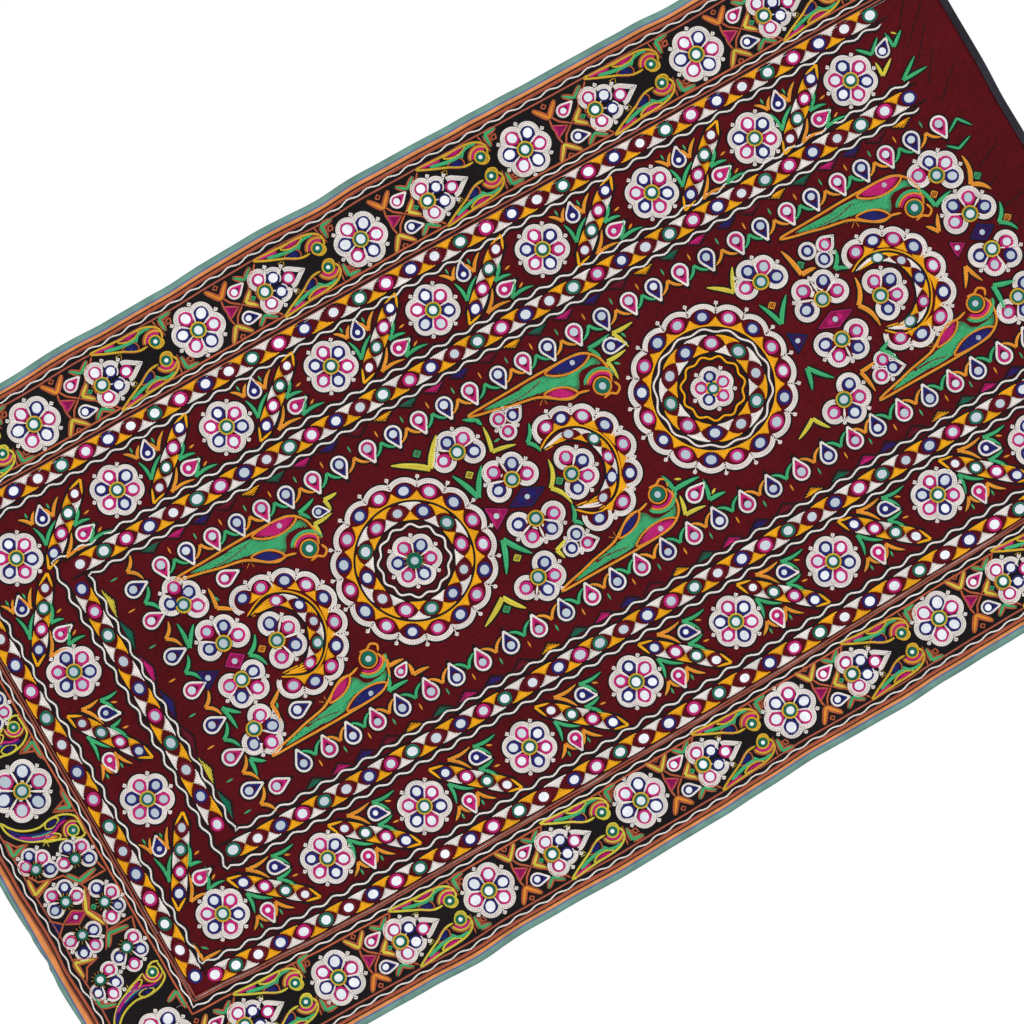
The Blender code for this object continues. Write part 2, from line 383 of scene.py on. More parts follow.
def petalRows(centres, first, hub=None, rowCount=petal["rows"], picots=True, keep=None, shift=0.0,
              points=None):
    # white rows round each petal as far as its neighbours, a spoke from the middle to each notch
    # between them, and a black outline. Points are the petals that end in a point
    centres = np.asarray(centres, float)
    lobes = centres
    points = points or {}
    tight = min(1.0, first / petal["first"])
    if hub is not None:
        hub = np.asarray(hub, float)
        away = centres - hub[:2]
        away /= np.hypot(away[:, 0], away[:, 1])[:, None]
        lobes = centres - away * shift
    for i, (x, y) in enumerate(lobes):
        for k in range(rowCount + 1):
            outline = k == rowCount
            radius = first + k * petal["pitch"] * tight
            grown = radius + (0.1 if outline else 0.0)
            if i in points:
                direction, reach = points[i]
                around = dropOutline(x, y, direction, grown, grown * reach, 1.0)[:-1]
            else:
                around = arc(x, y, grown, step=1.0)[:-1]
            kept = np.ones(len(around), bool)
            for j, other in enumerate(lobes):
                if j != i:
                    kept &= np.hypot(*(around - other).T) > radius - 0.05
            if hub is not None:
                kept &= np.hypot(*(around - hub[:2]).T) > hub[2]
                nearOther = np.min([np.hypot(*(around - other).T) for j, other in
                                    enumerate(lobes) if j != i], axis=0) < petal["near"] * first
                kept &= ~(nearOther & ((around - (x, y)) @ away[i] < petal["inner"] * first))
            if keep is not None:
                kept &= keep(around, x, y)
            for run in runsOf(kept):
                if len(run) < 4:
                    continue
                places = around[run if i in points else run[::2] + ([run[-1]] if len(run) % 2 == 0
                                                                   else [])]
                sew("black" if outline else "white", places,
                    petal["outline"] if outline else petal["width"] * tight,
                    0.12 if outline else 0.36 + 0.04 * k, 0.8)
    reach = first + (rowCount - 1) * petal["pitch"] * tight + 0.8
    middle = centres.mean(axis=0) if hub is None else hub[:2]
    for i, a in enumerate(lobes):
        for b in lobes[i + 1:]:
            apart = np.hypot(*(b - a))
            if not 1.0 < apart < 1.9 * reach:
                continue
            across = np.array((-(b - a)[1], (b - a)[0])) / apart
            half = math.sqrt(reach * reach - apart * apart / 4.0)
            for turn in (-1.0, 1.0):
                notch = (a + b) / 2.0 + across * half * turn
                clear = min(np.hypot(*(lobes - notch).T)) > reach - 0.4
                if not clear or np.hypot(*(notch - middle)) < np.hypot(*((a + b) / 2 - middle)):
                    continue
                if picots:
                    loop(notch, notch + across * turn * petal["picot"])
                if hub is not None:
                    ray = (notch - middle) / np.hypot(*(notch - middle))
                    sew("white", line(middle + ray * (hub[2] - 0.4), notch), 2.3, 0.40)


def loop(start, end):
    # a picot, a small loop on a short stem
    sew("white", line(start - (end - start) * 0.3, end), 1.9, 0.42)
    ring("white", *end, 1.5, 1.7, 0.42)


def heart(x, y, radius=4.2, outer="gold"):
    # the middle of a flower: a mirror in a dark green ring and often a golden one
    mirror(x, y, radius, "darkGreen", 2.3)
    if not outer:
        return (x, y, radius + 3.2)
    ring(outer, x, y, radius + 3.0, 1.8, 0.40)
    return (x, y, radius + 4.0)


def flower(x, y, turn, count=6, reach=14.7, size=1.0, colours="mn", outer="gold",
           glass=petal["mirror"]):
    hub = heart(x, y, 3.9 * size, outer)
    centres = []
    for k in range(count):
        angle = math.radians(turn + 360.0 * k / count + dice.uniform(-3, 3))
        radius = reach * size * dice.uniform(0.97, 1.03)
        at = (x + radius * math.cos(angle), y + radius * math.sin(angle))
        mirror(*at, glass * size, ringThreads[colours[k % len(colours)]],
               (petal["ring"] - glass) * size / 0.9, 1.1, math.degrees(angle))
        centres.append(at)
    petalRows(centres, petal["first"] * size, hub, shift=petal["shift"])


def cluster(middle, petals, size=1.0, outer="gold", point=None, rowCount=None):
    # petals at places of their own, such as (x, y, "m")
    hub = None
    if middle:
        hub = heart(*middle, 4.0 * size, outer)
    for x, y, colour in petals:
        turn = math.degrees(math.atan2(y - middle[1], x - middle[0])) if middle else 0.0
        mirror(x, y, petal["mirror"] * size, ringThreads[colour], 2.75 * size, 1.1, turn)
    points = {0: (point, 1.5)} if point is not None else None
    petalRows([(x, y) for x, y, colour in petals], petal["first"] * size, hub, points=points,
              rowCount=rowCount or (petal["rows"] if middle else 2),
              shift=petal["shift"] if middle else 0.0)


def radialStitches(x, y, inner, outer, count=14):
    for k in range(count):
        angle = 2 * math.pi * k / count
        ray = np.array((math.cos(angle), math.sin(angle)))
        sew("yellow", np.array(((x, y) + ray * inner, (x, y) + ray * outer)), 0.9, 0.7)


def dropOutline(x, y, direction, radius, tip, step=2.4):
    opening = math.degrees(math.acos(radius / tip))
    bowl = arc(x, y, radius, direction + opening, direction + 360.0 - opening, step)
    angle = math.radians(direction)
    point = np.array((x + tip * math.cos(angle), y + tip * math.sin(angle)))
    return np.vstack((point, line(point, bowl[0], 3.0)[1:-1], bowl,
                      line(bowl[-1], point, 3.0)[1:-1], point))


def drop(x, y, direction, colour, size=1.0, glass=dropShape["mirror"]):
    # a single mirror in a drop that comes to a point
    def outline(thread, kind, width, lift):
        radius, tip = dropShape[kind]
        sew(thread, dropOutline(x, y, direction, radius * size, tip * size), width, lift)

    angle = math.radians(direction)
    ahead = np.array((math.cos(angle), math.sin(angle)))
    thread = ringThreads[colour]
    mirror(x, y, glass * size)
    if glass < dropShape["mirror"]:
        outline(thread, "filling", 1.8, 0.42)
    outline(thread, "ring", 2.2, 0.45)
    sew(thread, line(*((x, y) + ahead * along * size for along in dropShape["stem"])), 2.0, 0.42)
    outline("white", "white", 2.2, 0.36)
    outline("black", "black", 1.7, 0.16)


def chevron(vertex, tips, thread, width=3.6, bow=0.0, edge="black"):
    # leaf shaped arms that spring from one point
    vertex = np.asarray(vertex, float)
    tips = [np.asarray(tip, float) for tip in tips]
    for k, tip in enumerate(tips):
        along = tip - vertex
        reach = np.hypot(*along)
        across = np.array((-along[1], along[0]))
        if len(tips) > 1 and np.dot(across, tips[1 - k] - vertex) > 0:
            across = -across
        share = np.linspace(0.0, 1.0, max(3, int(reach / 3.2)) + 1)
        swell = np.interp(share, (0.0, 0.35, 0.75, 1.0), (0.95, 1.0, 0.72, 0.22))
        middle = vertex + np.outer(share, along) + np.outer(bow * np.sin(np.pi * share), across)
        sew(thread, middle, width * swell, 0.38)
        for turn in (1.0, -1.0):
            beside = offset(middle, turn * 1.0)
            beside = middle + (beside - middle) * (width * swell / 2.0 + 0.75)[:, None]
            sew(edge, beside, 1.9 if edge == "black" else 1.7, 0.14 if edge == "black" else 0.28)


def dash(x, y, angle, thread, length=7.0, width=2.0):
    turn = math.radians(angle)
    ray = np.array((math.cos(turn), math.sin(turn))) * length / 2.0
    middle = np.array((x, y))
    sew(thread, np.array((middle - ray, middle, middle + ray)), width, 0.35, 0.4)


def patch(corners, thread, mirrorSize=0.0, outline="black"):
    # a small filled shape, often with a mirror in its middle
    corners = np.asarray(corners, float)
    middle = corners.mean(axis=0)
    holes = []
    if mirrorSize:
        mirror(middle[0], middle[1], mirrorSize)
        holes = [arc(middle[0], middle[1], mirrorSize - 0.2, step=1.6)[:-1]]
    fill(thread, [corners] + holes, 0.0, 1.5, 0.34)
    closed = np.vstack((corners, corners[:1]))
    sew(thread, path(closed, 5.0), 1.3, 0.34)
    if outline:
        grown = middle + (closed - middle) * (1.0 + 1.2 / np.hypot(*(closed - middle).T).max())
        sew(outline, path(grown, 5.0), 1.8, 0.14)


def trackOf(points):
    points = np.asarray(points, float)
    lengths = np.concatenate(([0.0], np.cumsum(np.hypot(*np.diff(points, axis=0).T))))
    ahead = np.gradient(points, axis=0)
    ahead /= np.hypot(ahead[:, 0], ahead[:, 1])[:, None]
    return {"points": points, "lengths": lengths, "ahead": ahead}


def onTrack(track, places, beside):
    places = np.asarray(places, float)
    x, y, aheadX, aheadY = (np.interp(places, track["lengths"], column) for column in
                            (*track["points"].T, *track["ahead"].T))
    return np.column_stack((x - aheadY * beside, y + aheadX * beside))


def onTrackLine(track, start, end, beside, step):
    count = max(1, int(math.ceil(abs(end - start) / step)))
    return onTrack(track, np.linspace(start, end, count + 1), beside)


def mirrorBand(track, stops, colours, pairs, size=1.0, step=5.0, closed=False):
    # mirrors in touching eyes, with wedges sewn in the corners between them. A pair of threads
    # takes turns on each side of the band
    halfWidth = wedge["halfWidth"] * size
    reach = track["lengths"][-1]
    for i, stop in enumerate(stops):
        x, y = onTrack(track, [stop], 0.0)[0]
        ahead = onTrack(track, [min(stop + 1.0, reach)], 0.0)[0] - (x, y)
        if not ahead.any():
            ahead = (x, y) - onTrack(track, [stop - 1.0], 0.0)[0]
        angle = math.degrees(math.atan2(ahead[1], ahead[0]))
        mirror(x, y, wedge["mirror"] * size, ringThreads[colours[i % len(colours)]], 2.45 * size,
               1.12, angle)
    joins = list(zip(stops, stops[1:]))
    if closed:
        joins.append((stops[-1], stops[0] + reach))
    for i, (a, b) in enumerate(joins):
        half = (b - a) / 2.0
        for k, turn in enumerate((1.0, -1.0)):
            thread = pairs[k][i % 2]
            if not thread:
                continue
            for away in wedge["offsets"]:
                away *= size
                inner = half * math.sqrt(1.0 - away / halfWidth)
                if b - a - 2 * inner < 0.9:
                    continue
                if b - inner > reach and closed:
                    places = np.linspace(a + inner, b - inner, 5) % reach
                    sew(thread, onTrack(track, places, turn * away), wedge["width"] * size, 0.34)
                else:
                    sew(thread, onTrackLine(track, a + inner, b - inner, turn * away, step),
                        wedge["width"] * size, 0.34)


def bandLines(track, start, end, places=(9.1, -9.1), width=2.1):
    for beside in places:
        sew("black", onTrackLine(track, start, end, beside, 8.0), width, 0.14)


def triangleByLine(x, y, angle, thread, length=20.0):
    # a low filled triangle that stands on a wavy line
    turn = math.radians(angle)
    ahead = np.array((math.cos(turn), math.sin(turn)))
    up = np.array((-ahead[1], ahead[0]))
    middle = np.array((x, y))
    depth = 6.0
    for share in (0.10, 0.36, 0.62, 0.86):
        reach = length / 2.0 * (1.0 - share)
        base = middle + up * depth * share
        sew(thread, line(base - ahead * reach, base + ahead * reach, 8.0), 1.7, 0.3)
    corners = [middle - ahead * (length / 2 + 1.5), middle + up * (depth + 1.2),
               middle + ahead * (length / 2 + 1.5)]
    sew("black", path(corners, 6.0), 1.7, 0.14)


# Parrots look to the right, with the eye at 0, 0. A line's thread may be named here or by its part:
# lead, wing, breast
parrots = {
    "large": {
        "outline": ((1, 9.5), (-9, 12), (-19, 11), (-27, 7), (-33, -1), (-35.5, -12), (-36.5, -45),
                    (-36, -85), (-35.5, -117), (-32, -110), (-28, -93), (-24, -78), (-21.5, -65),
                    (-19, -55), (-14, -47), (-7, -37), (-3.5, -29), (-4.5, -21), (-2, -12)),
        "fills": (
            ("leaf", 88, ((-17, 9), (-24, 7), (-27, 2), (-23.5, -6), (-22.5, -18), (-25, -30),
                          (-32.5, -41), (-33, -65), (-33.5, -102), (-29, -92), (-25.5, -74),
                          (-22.5, -58), (-20.5, -48), (-18, -37), (-14, -27), (-7.5, -22),
                          (-10, -17), (-18, -13), (-21, -6), (-20, 1))),
            ("wing", 80, ((-30, 2), (-33.5, -6), (-35, -20), (-33.5, -36), (-28, -29),
                          (-24.5, -18), (-25.5, -6))),
            ("breast", 65, ((-5, -24), (-9.5, -26), (-14.5, -32), (-17.5, -40), (-17.5, -47),
                            (-12, -42), (-7, -34))),
        ),
        "edges": (
            ("lead", 2.0, True, ((-30, 4), (-34.3, -6), (-35.8, -21), (-34, -39), (-27, -31),
                                 (-23.3, -18), (-24.5, -4))),
            ("lead", 2.0, True, ((-4, -22.5), (-10, -24.3), (-15.8, -31), (-18.8, -40),
                                 (-18.5, -49), (-12, -43.5), (-6.5, -35))),
            ("claret", 1.6, False, ((-30.5, -45), (-27, -62), (-27.5, -80))),
        ),
        "neck": ((11.6, 2.4, "magenta"), (13.8, 1.8, "lead"), (16.2, 3.0, "leaf")),
        "neckTurn": (102, 238), "eye": 3.2, "ring": 4.4, "beak": ((2, 11), (8, 13), (12, 8), (9, 3),
                                                                 (10, -4)),
        "wingMirror": (-30.3, -13, 2.5), "line": 2.3,
        "toes": ((-17, -51), ((-10, -51), (-12, -57), (-18, -59))), "dots": 16,
    },
    "small": {
        "outline": ((1, 6.5), (-4, 9), (-10, 7.5), (-14.5, 1.5), (-17, -8), (-18, -27), (-19.3, -45),
                    (-20, -57.5), (-15.5, -50), (-10.5, -39), (-6.5, -30), (-1.5, -21.5),
                    (0.5, -15), (0.5, -8)),
        "fills": (
            ("wing", 85, ((-16.5, -10), (-13.8, -14), (-13.3, -22), (-16.5, -28))),
            ("breast", 75, ((-8.5, -19), (-4, -16.5), (-1, -19), (-4.5, -26), (-7.5, -30),
                            (-8.8, -25))),
        ),
        "edges": (
            ("leaf", 2.8, False, ((-13.2, 2), (-14.0, -5), (-12.4, -12), (-7.5, -15.5))),
            ("leaf", 3.4, False, ((-10.5, -14), (-10.6, -24), (-12.5, -34), (-15.5, -45))),
            ("magenta", 2.4, False, ((-16, -34), (-17.4, -44), (-18.4, -52))),
            ("rust", 1.4, False, ((-7.5, -33), (-11.5, -41), (-16, -51))),
            ("lead", 1.9, True, ((-17, -8.5), (-12.8, -13), (-12.3, -23), (-17, -30))),
            ("rust", 1.3, True, ((-9.5, -18), (-4, -15.3), (0, -19), (-4, -27), (-7.5, -31.5),
                                 (-10, -25))),
        ),
        "neck": ((7.6, 2.6, "magenta"), (9.7, 1.8, "lead"), (11.3, 1.4, "rust")),
        "neckTurn": (122, 262), "eye": 1.9, "ring": 3.0, "beak": ((0, 7), (5, 6), (7, 1), (4.5, -4)),
        "wingMirror": None, "line": 2.2, "toes": ((-6, -33), ((-1, -35), (-6, -39))), "dots": 0,
    },
    "long": {
        "outline": ((7.5, 8), (1, 8.5), (-4.5, 8.5), (-10.5, 8), (-15.5, 2.5), (-18.5, -4.5),
                    (-19.5, -14.5), (-17.5, -24.5), (-19.5, -34.5), (-24.5, -43.5), (-32, -50.5),
                    (-38.5, -54.5), (-28.5, -54), (-18.5, -48), (-10.5, -39.5), (-5.5, -29.5),
                    (-2, -22), (1.5, -14.5), (4.5, -8)),
        "fills": (
            ("wing", 80, ((-15, -8), (-12.5, -14), (-14, -19), (-17.5, -16.5), (-17.5, -10.5))),
            ("breast", 80, ((-1.5, -14), (-0.5, -18), (-4, -27), (-6, -20), (-4, -15))),
        ),
        "edges": (
            ("navy", 2.4, False, ((-14, 1), (-13, -8), (-10, -15), (-11.5, -26), (-15.5, -37),
                                  (-22, -46), (-30, -51.5))),
            ("magenta", 2.2, False, ((-11.5, -1), (-10.5, -9), (-7.5, -15), (-8.5, -26), (-12.5, -36.5),
                                     (-19, -46))),
            ("leaf", 2.0, False, ((-9.2, -17), (-9.8, -26), (-13.5, -36))),
            ("purple", 2.2, False, ((-5.4, -17), (-6.8, -27), (-10.5, -37), (-17.5, -46.5),
                                    (-26, -51.8))),
            ("lead", 1.6, True, ((-15, -6.5), (-11, -14), (-13.5, -21), (-18.5, -18), (-18.5, -9))),
            ("lead", 1.5, True, ((-1, -12), (0.5, -18), (-4, -29), (-7.5, -20), (-4.5, -14))),
        ),
        "neck": ((6.6, 2.4, "magenta"), (8.6, 1.6, "lead"), (10.3, 1.8, "claret")),
        "neckTurn": (120, 290), "eye": 1.7, "ring": 3.0, "beak": ((6, 8), (7.5, 9), (9.5, 4), (7, -2)),
        "wingMirror": None, "line": 2.0, "toes": ((-3, -26), ((2, -26.5), (-1, -31))), "dots": 0,
    },
}


def parrot(kind, x, y, flip, wing, breast, lead="orange", wide=1.0, tall=1.0):
    table = parrots[kind]
    named = {"lead": lead, "wing": wing, "breast": breast}

    def at(points):
        return np.asarray(points, float) * (flip * wide, tall) + (x, y)

    outline = smoothLine(at(table["outline"]), False, 4.0)
    sew("black", offset(outline, 1.9 * -flip), 1.8, 0.12)
    for thread, angle, points in table["fills"]:
        shape = smoothLine(at(points), True, 3.6)
        fill(named.get(thread, thread), [shape], angle * flip, 1.45, 0.3)
    for thread, width, closed, points in table["edges"]:
        curve = smoothLine(at(points), closed, 3.2)
        sew(named.get(thread, thread), curve, width, 0.42)
    low, high = table["neckTurn"]
    for radius, width, thread in table["neck"]:
        bend = arc(0, 0, radius, low, high, 2.6) * (flip, 1.0)
        sew(named.get(thread, thread), bend + (x, y), width, 0.40)
    sew(lead, outline, table["line"], 0.46)
    mirror(x, y, table["eye"], "darkGreen", table["ring"])
    ring(lead, x, y, table["eye"] + table["ring"] + 0.6, 1.7, 0.46)
    sew(lead, smoothLine(at(table["beak"])), table["line"], 0.46)
    if table["wingMirror"]:
        a, b, radius = table["wingMirror"]
        mirror(*at([(a, b)])[0], radius)
    foot, toes = table["toes"]
    for toe in toes:
        sew(lead, at((foot, toe)), 1.4, 0.3)
    for k in range(table["dots"]):
        share = (k + 0.5) / table["dots"]
        spot = at([(-27.5 - 3.5 * share + dice.uniform(-2, 2), -22 - 70 * share)])[0]
        sew("darkGreen", np.array((spot, spot + (0.3, 1.9))), 1.1, 0.55, 0.8)


# Long lines of the borders: nominal left and right x, height at the foot, width and wave
borderLines = {
    "top": 1154.0,
    "rust": ((-328.3, 328.3, 13.0, 1.7), (-265.0, 262.0, 94.8, 1.9)),
    "brown": ((-326.9, 326.9, 14.4, 1.2), (-320.0, 320.0, 23.6, 1.8), (-257.8, 253.2, 101.8, 1.8),
              (-254.4, 250.4, 105.0, 1.7)),
    "black": ((-330.2, 330.0, 11.6, 1.6), (-325.9, 325.9, 15.6, 1.3),
              (-322.9, 322.6, 21.3, 1.3), (-262.8, 259.6, 97.4, 1.3), (-259.4, 255.4, 100.6, 1.3)),
    "white": ((-324.4, 324.3, 18.4, 1.2, 1.5), (-261.0, 257.4, 98.7, 1.1, 1.5)),
}
bandLinesTable = {
    "top": 1098.0,
    "waves": ((-233.8, 225.8, 126.0), (-171.3, 156.6, 189.6), (-144.6, 128.4, 213.6)),
}


def downAcrossUp(left, right, foot, top):
    return drawIn(path([(left, top), (left, foot), (right, foot), (right, top)], 7.0))


def waveRound(left, right, foot, top, depth, length):
    down = wave((left, top), (left, foot + 4), depth, length)
    across = wave((left + 4, foot), (right - 4, foot), depth, length, turn=1.0)
    up = wave((right, foot + 4), (right, top), depth, length, turn=2.0)
    return drawIn(np.vstack((down, ((left, foot),), across, ((right, foot),), up)))


def sewBorders():
    top = borderLines["top"]
    for thread in ("rust", "brown", "black"):
        for left, right, foot, width in borderLines[thread]:
            sew(thread, downAcrossUp(left, right, foot, top), width, 0.1 if thread == "black" else 0.3)
    for left, right, foot, depth, width in borderLines["white"]:
        sew("white", waveRound(left, right, foot, top, depth, 21.0), width, 0.4)
    for i, (left, right, foot) in enumerate(bandLinesTable["waves"]):
        top = bandLinesTable["top"] - 4.0 * i
        points = waveRound(left, right, foot, top, 1.9, 22.0)
        sew("white", points, 1.8, 0.4)
        for turn in (1.0, -1.0):
            sew("black", offset(points, turn * 2.1), 2.1, 0.12)


# Bands of mirrors: upright or level, their x or height, colours, whether gold starts on the
# left, the places of the mirrors along them, then a step and how often it follows
bands = (
    (True, -246.5, "rgmn", True, (128, 147, 170, 193, 218, 243, 269, 292, 316, 341, 368, 395, 419,
                                  444, 472, 499, 530, 557, 585, 611, 636), 26.9, 17),
    (True, 240.0, "mgrn", False, (131, 152, 175, 198, 222, 245, 269, 294, 319, 344, 370, 397, 421,
                                  449, 475, 507, 531, 556, 581), 27.0, 19),
    (False, 114.5, "nmgr", True, (-220, -191, -162, -134, -106, -78, -50, -22, 7, 36, 65, 91, 115,
                                  141, 168, 196, 224), 0.0, 0),
    (True, -157.8, "rgmn", True, (212, 237, 261, 285, 310, 335, 360, 385, 409, 433, 456, 482, 507,
                                  531, 559, 582, 607, 631), 25.3, 18),
    (True, 143.0, "grnm", False, (203, 228, 252, 275, 298, 321, 345, 368, 391, 416, 442, 466, 489,
                                  518, 546, 569, 590), 25.2, 20),
    (False, 202.0, "nmgr", True, (-137, -113, -88, -60, -31, -2, 27, 55, 83, 113), 0.0, 0),
)
bandShape = {"past": 14, "pairs": (("yellow", "white"), ("white", "yellow"))}


def sewBands():
    past = bandShape["past"]
    for upright, beside, colours, goldLeft, places, step, count in bands:
        stops = [*places, *(places[-1] + step * k for k in range(1, count + 1))]
        ends = [(beside, stops[0] - past), (beside, stops[-1] + past)]
        if not upright:
            ends = [end[::-1] for end in ends]
        track = trackOf(drawIn(line(*ends, 6.0)))
        pairs = bandShape["pairs"][::1 if goldLeft else -1]
        mirrorBand(track, [stop - stops[0] + past for stop in stops], colours, pairs)
        bandLines(track, 0.0, track["lengths"][-1])


# The band of flowers between the two mirror bands. A foot bar has its x, y, flip, whether it is
# an odd one, and its stretch
middleBand = {
    "left": ((-192, 164), (-200, 276), (-200, 392), (-200, 503), (-198, 610), (-196, 725),
             (-191, 838), (-187, 945), (-189, 1048)),
    "right": ((186, 165), (190, 274), (193, 375), (194, 486), (191, 601), (189, 708),
              (186, 813), (181, 927), (182, 1030)),
    "foot": ((-75, 158), (60, 158)),
    "cover": 22.5,
    "footBars": ((-130, 158, 1.0, False, 1.22, 0.76), (-8, 158, -1.0, True, 1.26, 0.74),
                 (126, 157, 1.0, False, 1.34, 0.74)),
    "topChevrons": (
        ((-196, 1098), (-211, 1097), (-206, 1111), "green"),
        ((-165, 1090), (-179, 1110), (-165, 1115), "green"),
        ((-200, 1077), (-211, 1089), (-211, 1066), "green"),
        ((-178, 1076), (-192, 1076), (-188, 1090), "lime"),
        ((198, 1078), (188, 1092), (210, 1090), "green"),
    ),
    "topDrops": ((-198, 1087, 135, "n", 0.85), (170, 1066, 90, "n", 0.9), (206, 1098, 110, "n", 0.8)),
}
# A bar of mirrors between two flowers, from its middle. Its drops: x, y, way of the tip, colour
# and size, on the left and on the right
bar = {
    "tips": ((-29.5, 31.0), (27.5, -35.0)),
    "reach": 87.2,
    "size": 0.88,
    "mirrors": (14.0, 33.0, 52.5, 72.0),
    "chevrons": (
        ((25.5, 10.5), ((25.5, 33.5), (10.5, 21.5)), "green"),
        ((4.5, 5), ((6.5, 21), (-10.5, 18)), "green"),
        ((26.5, -15.5), ((27, 8), (9, -0.5)), "orange"),
        ((-12.5, -7.5), ((-26, 5.5), (-25.5, -14)), "orange"),
        ((7.5, -26), ((-8, -7.5), (-12, -28.5)), "green"),
        ((-15.5, -27.5), ((-25.5, -20.5), (-25.5, -37)), "orange"),
    ),
    "dashes": ((19.5, 24, 60, "orange"), (-0.5, 21, 80, "orange"), (-23, -7, 0, "green"),
               (-25, -29, 0, "green")),
    "leftDrops": ((15.5, 8.5, 100, "m", 0.92), (-15.5, -17, 165, "n", 0.88)),
    "rightDrops": ((15.5, 8.5, 60, "n", 0.92), (-15.5, -17, 0, "m", 0.88)),
    "dropGlass": 2.7,
}


def flowerBar(x, y, flip, odd, stretchX=1.0, stretchY=1.0):
    def at(point):
        return np.array((x + point[0] * flip * stretchX, y + point[1] * stretchY))

    start, end = at(bar["tips"][0]), at(bar["tips"][1])
    reach = np.hypot(*(end - start))
    track = trackOf(line(start, end, 5.0))
    stops = [share * reach / bar["reach"] for share in bar["mirrors"]]
    mirrorBand(track, stops, "nmgr" if odd else "rgmn", (("white", "yellow"), ("yellow", "white")),
               bar["size"])
    bandLines(track, 6.0, reach - 6.0, places=(8.0, -8.0), width=2.0)
    for tip, base in ((start, 12.0), (end, reach - 12.0)):
        sides = [onTrack(track, [base], beside)[0] for beside in (6.2, -6.2)]
        chevron(tip, sides, "yellow", 2.8, 0.0)
    for vertex, tips, thread in bar["chevrons"]:
        chevron(at(vertex), [at(tip) for tip in tips], thread, 3.6, -0.07)
    for dashX, dashY, angle, thread in bar["dashes"]:
        spot = at((dashX, dashY))
        dash(spot[0], spot[1], 180 - angle if flip > 0 else angle, thread, 5.5, 2.2)
    for dropX, dropY, direction, colour, size in bar["leftDrops" if flip > 0 else "rightDrops"]:
        drop(*at((dropX, dropY)), direction, colour, size, bar["dropGlass"])


def sewMiddleBand():
    for which, flip in (("left", 1.0), ("right", -1.0)):
        spots = middleBand[which]
        for i, (x, y) in enumerate(spots):
            flower(x, y, 60 * (i % 2))
        covers[:] = [(x, y, middleBand["cover"]) for x, y in spots]
        for i, (above, below) in enumerate(zip(spots[1:], spots)):
            flowerBar((above[0] + below[0]) / 2, (above[1] + below[1]) / 2, flip, i % 2 == 1)
        covers.clear()
    for i, (x, y) in enumerate(middleBand["foot"]):
        flower(x, y, 60 * i)
    covers[:] = [(x, y, middleBand["cover"]) for which in ("left", "right", "foot")
                 for x, y in middleBand[which]]
    for spot in middleBand["footBars"]:
        flowerBar(*spot)
    covers.clear()
    chevron((214, 128), ((196, 128), (214, 147)), "orange")
    chevron((-216, 130), ((-198, 130), (-216, 148)), "orange")
    dash(205, 135, 45, "green")
    for vertex, *tips, thread in middleBand["topChevrons"]:
        chevron(vertex, tips, thread)
    dash(-207, 1104, 45, "lime", 5.5)
    for spot in middleBand["topDrops"]:
        drop(*spot)


# Drops along the edge of the field: their x, way of the tip and heights, or places at the foot.
# The right row bends, by height and x
dropRows = {
    "left": (-121.2, 0, (276, 303, 330, 356, 382, 408, 436, 464, 494, 521, 548, 575, 602, 632, 658,
                         684, 712, 741, 770, 796, 824, 852, 883, 909, 937, 963, 991, 1016, 1042,
                         1069, 1098)),
    "right": (102, 180, (299, 326, 351, 377, 403, 433, 460, 488, 518, 548, 577, 605, 632, 658, 686,
                         714, 741, 771, 799, 829, 858, 886, 910, 938, 965, 992, 1016, 1044, 1071)),
    "rightBend": ((299, 480, 600, 860, 1045), (103.5, 105.3, 103.5, 99.8, 101.0)),
    "bandLine": (-141.3, 125.4),
    "foot": (-113, -80, -42, -6, 31, 65, 100),
    "sideTriangles": ("darkGreen", "magenta", "navy", "claret", "yellow"),
    "footTriangles": ("lime", "darkGreen", "magenta", "navy", "claret"),
}


def sewSideDrops(which, flip):
    x, tip, heights = dropRows[which]
    left = which == "left"
    for i, y in enumerate(heights):
        beside = drawIn([(x, y)])[0][0] if left else np.interp(y, *dropRows["rightBend"])
        drop(beside, y, tip, "mn"[(i + (0 if left else 1)) % 2])
        if i == len(heights) - 1:
            continue
        middle = (y + heights[i + 1]) / 2.0
        thread, other = ("green", "orange") if i % 2 == 0 else ("orange", "green")
        vertex = beside + 1.5 * flip
        chevron((vertex, middle), ((vertex + 10.5 * flip, middle + 12),
                                   (vertex + 10.0 * flip, middle - 12)), thread, 3.1, -0.12)
        dash(vertex - 9.0 * flip, middle, 0, other, 6.5, 1.9)
        lineX = drawIn([(dropRows["bandLine"][0 if left else 1], middle)])[0][0]
        triangleByLine(lineX, y, -90 * flip, dropRows["sideTriangles"][i % 5])


def sewDropRows():
    sewSideDrops("left", 1.0)
    sewSideDrops("right", -1.0)
    spots = dropRows["foot"]
    for i, x in enumerate(spots):
        drop(x, 243, 90, "nm"[i % 2])
        thread, other = ("orange", "green") if i % 2 == 0 else ("green", "orange")
        for vertex in [x - 17] + ([x + 16] if i == len(spots) - 1 else []):
            chevron((vertex, 246), ((vertex - 13, 256), (vertex + 13, 256)), thread, 3.8, -0.12)
            dash(vertex, 232, 90, other)
        triangleByLine(x, 216.8, 0, dropRows["footTriangles"][i % 5], 32.0)
    drop(109, 267, 90, "m", 0.95)


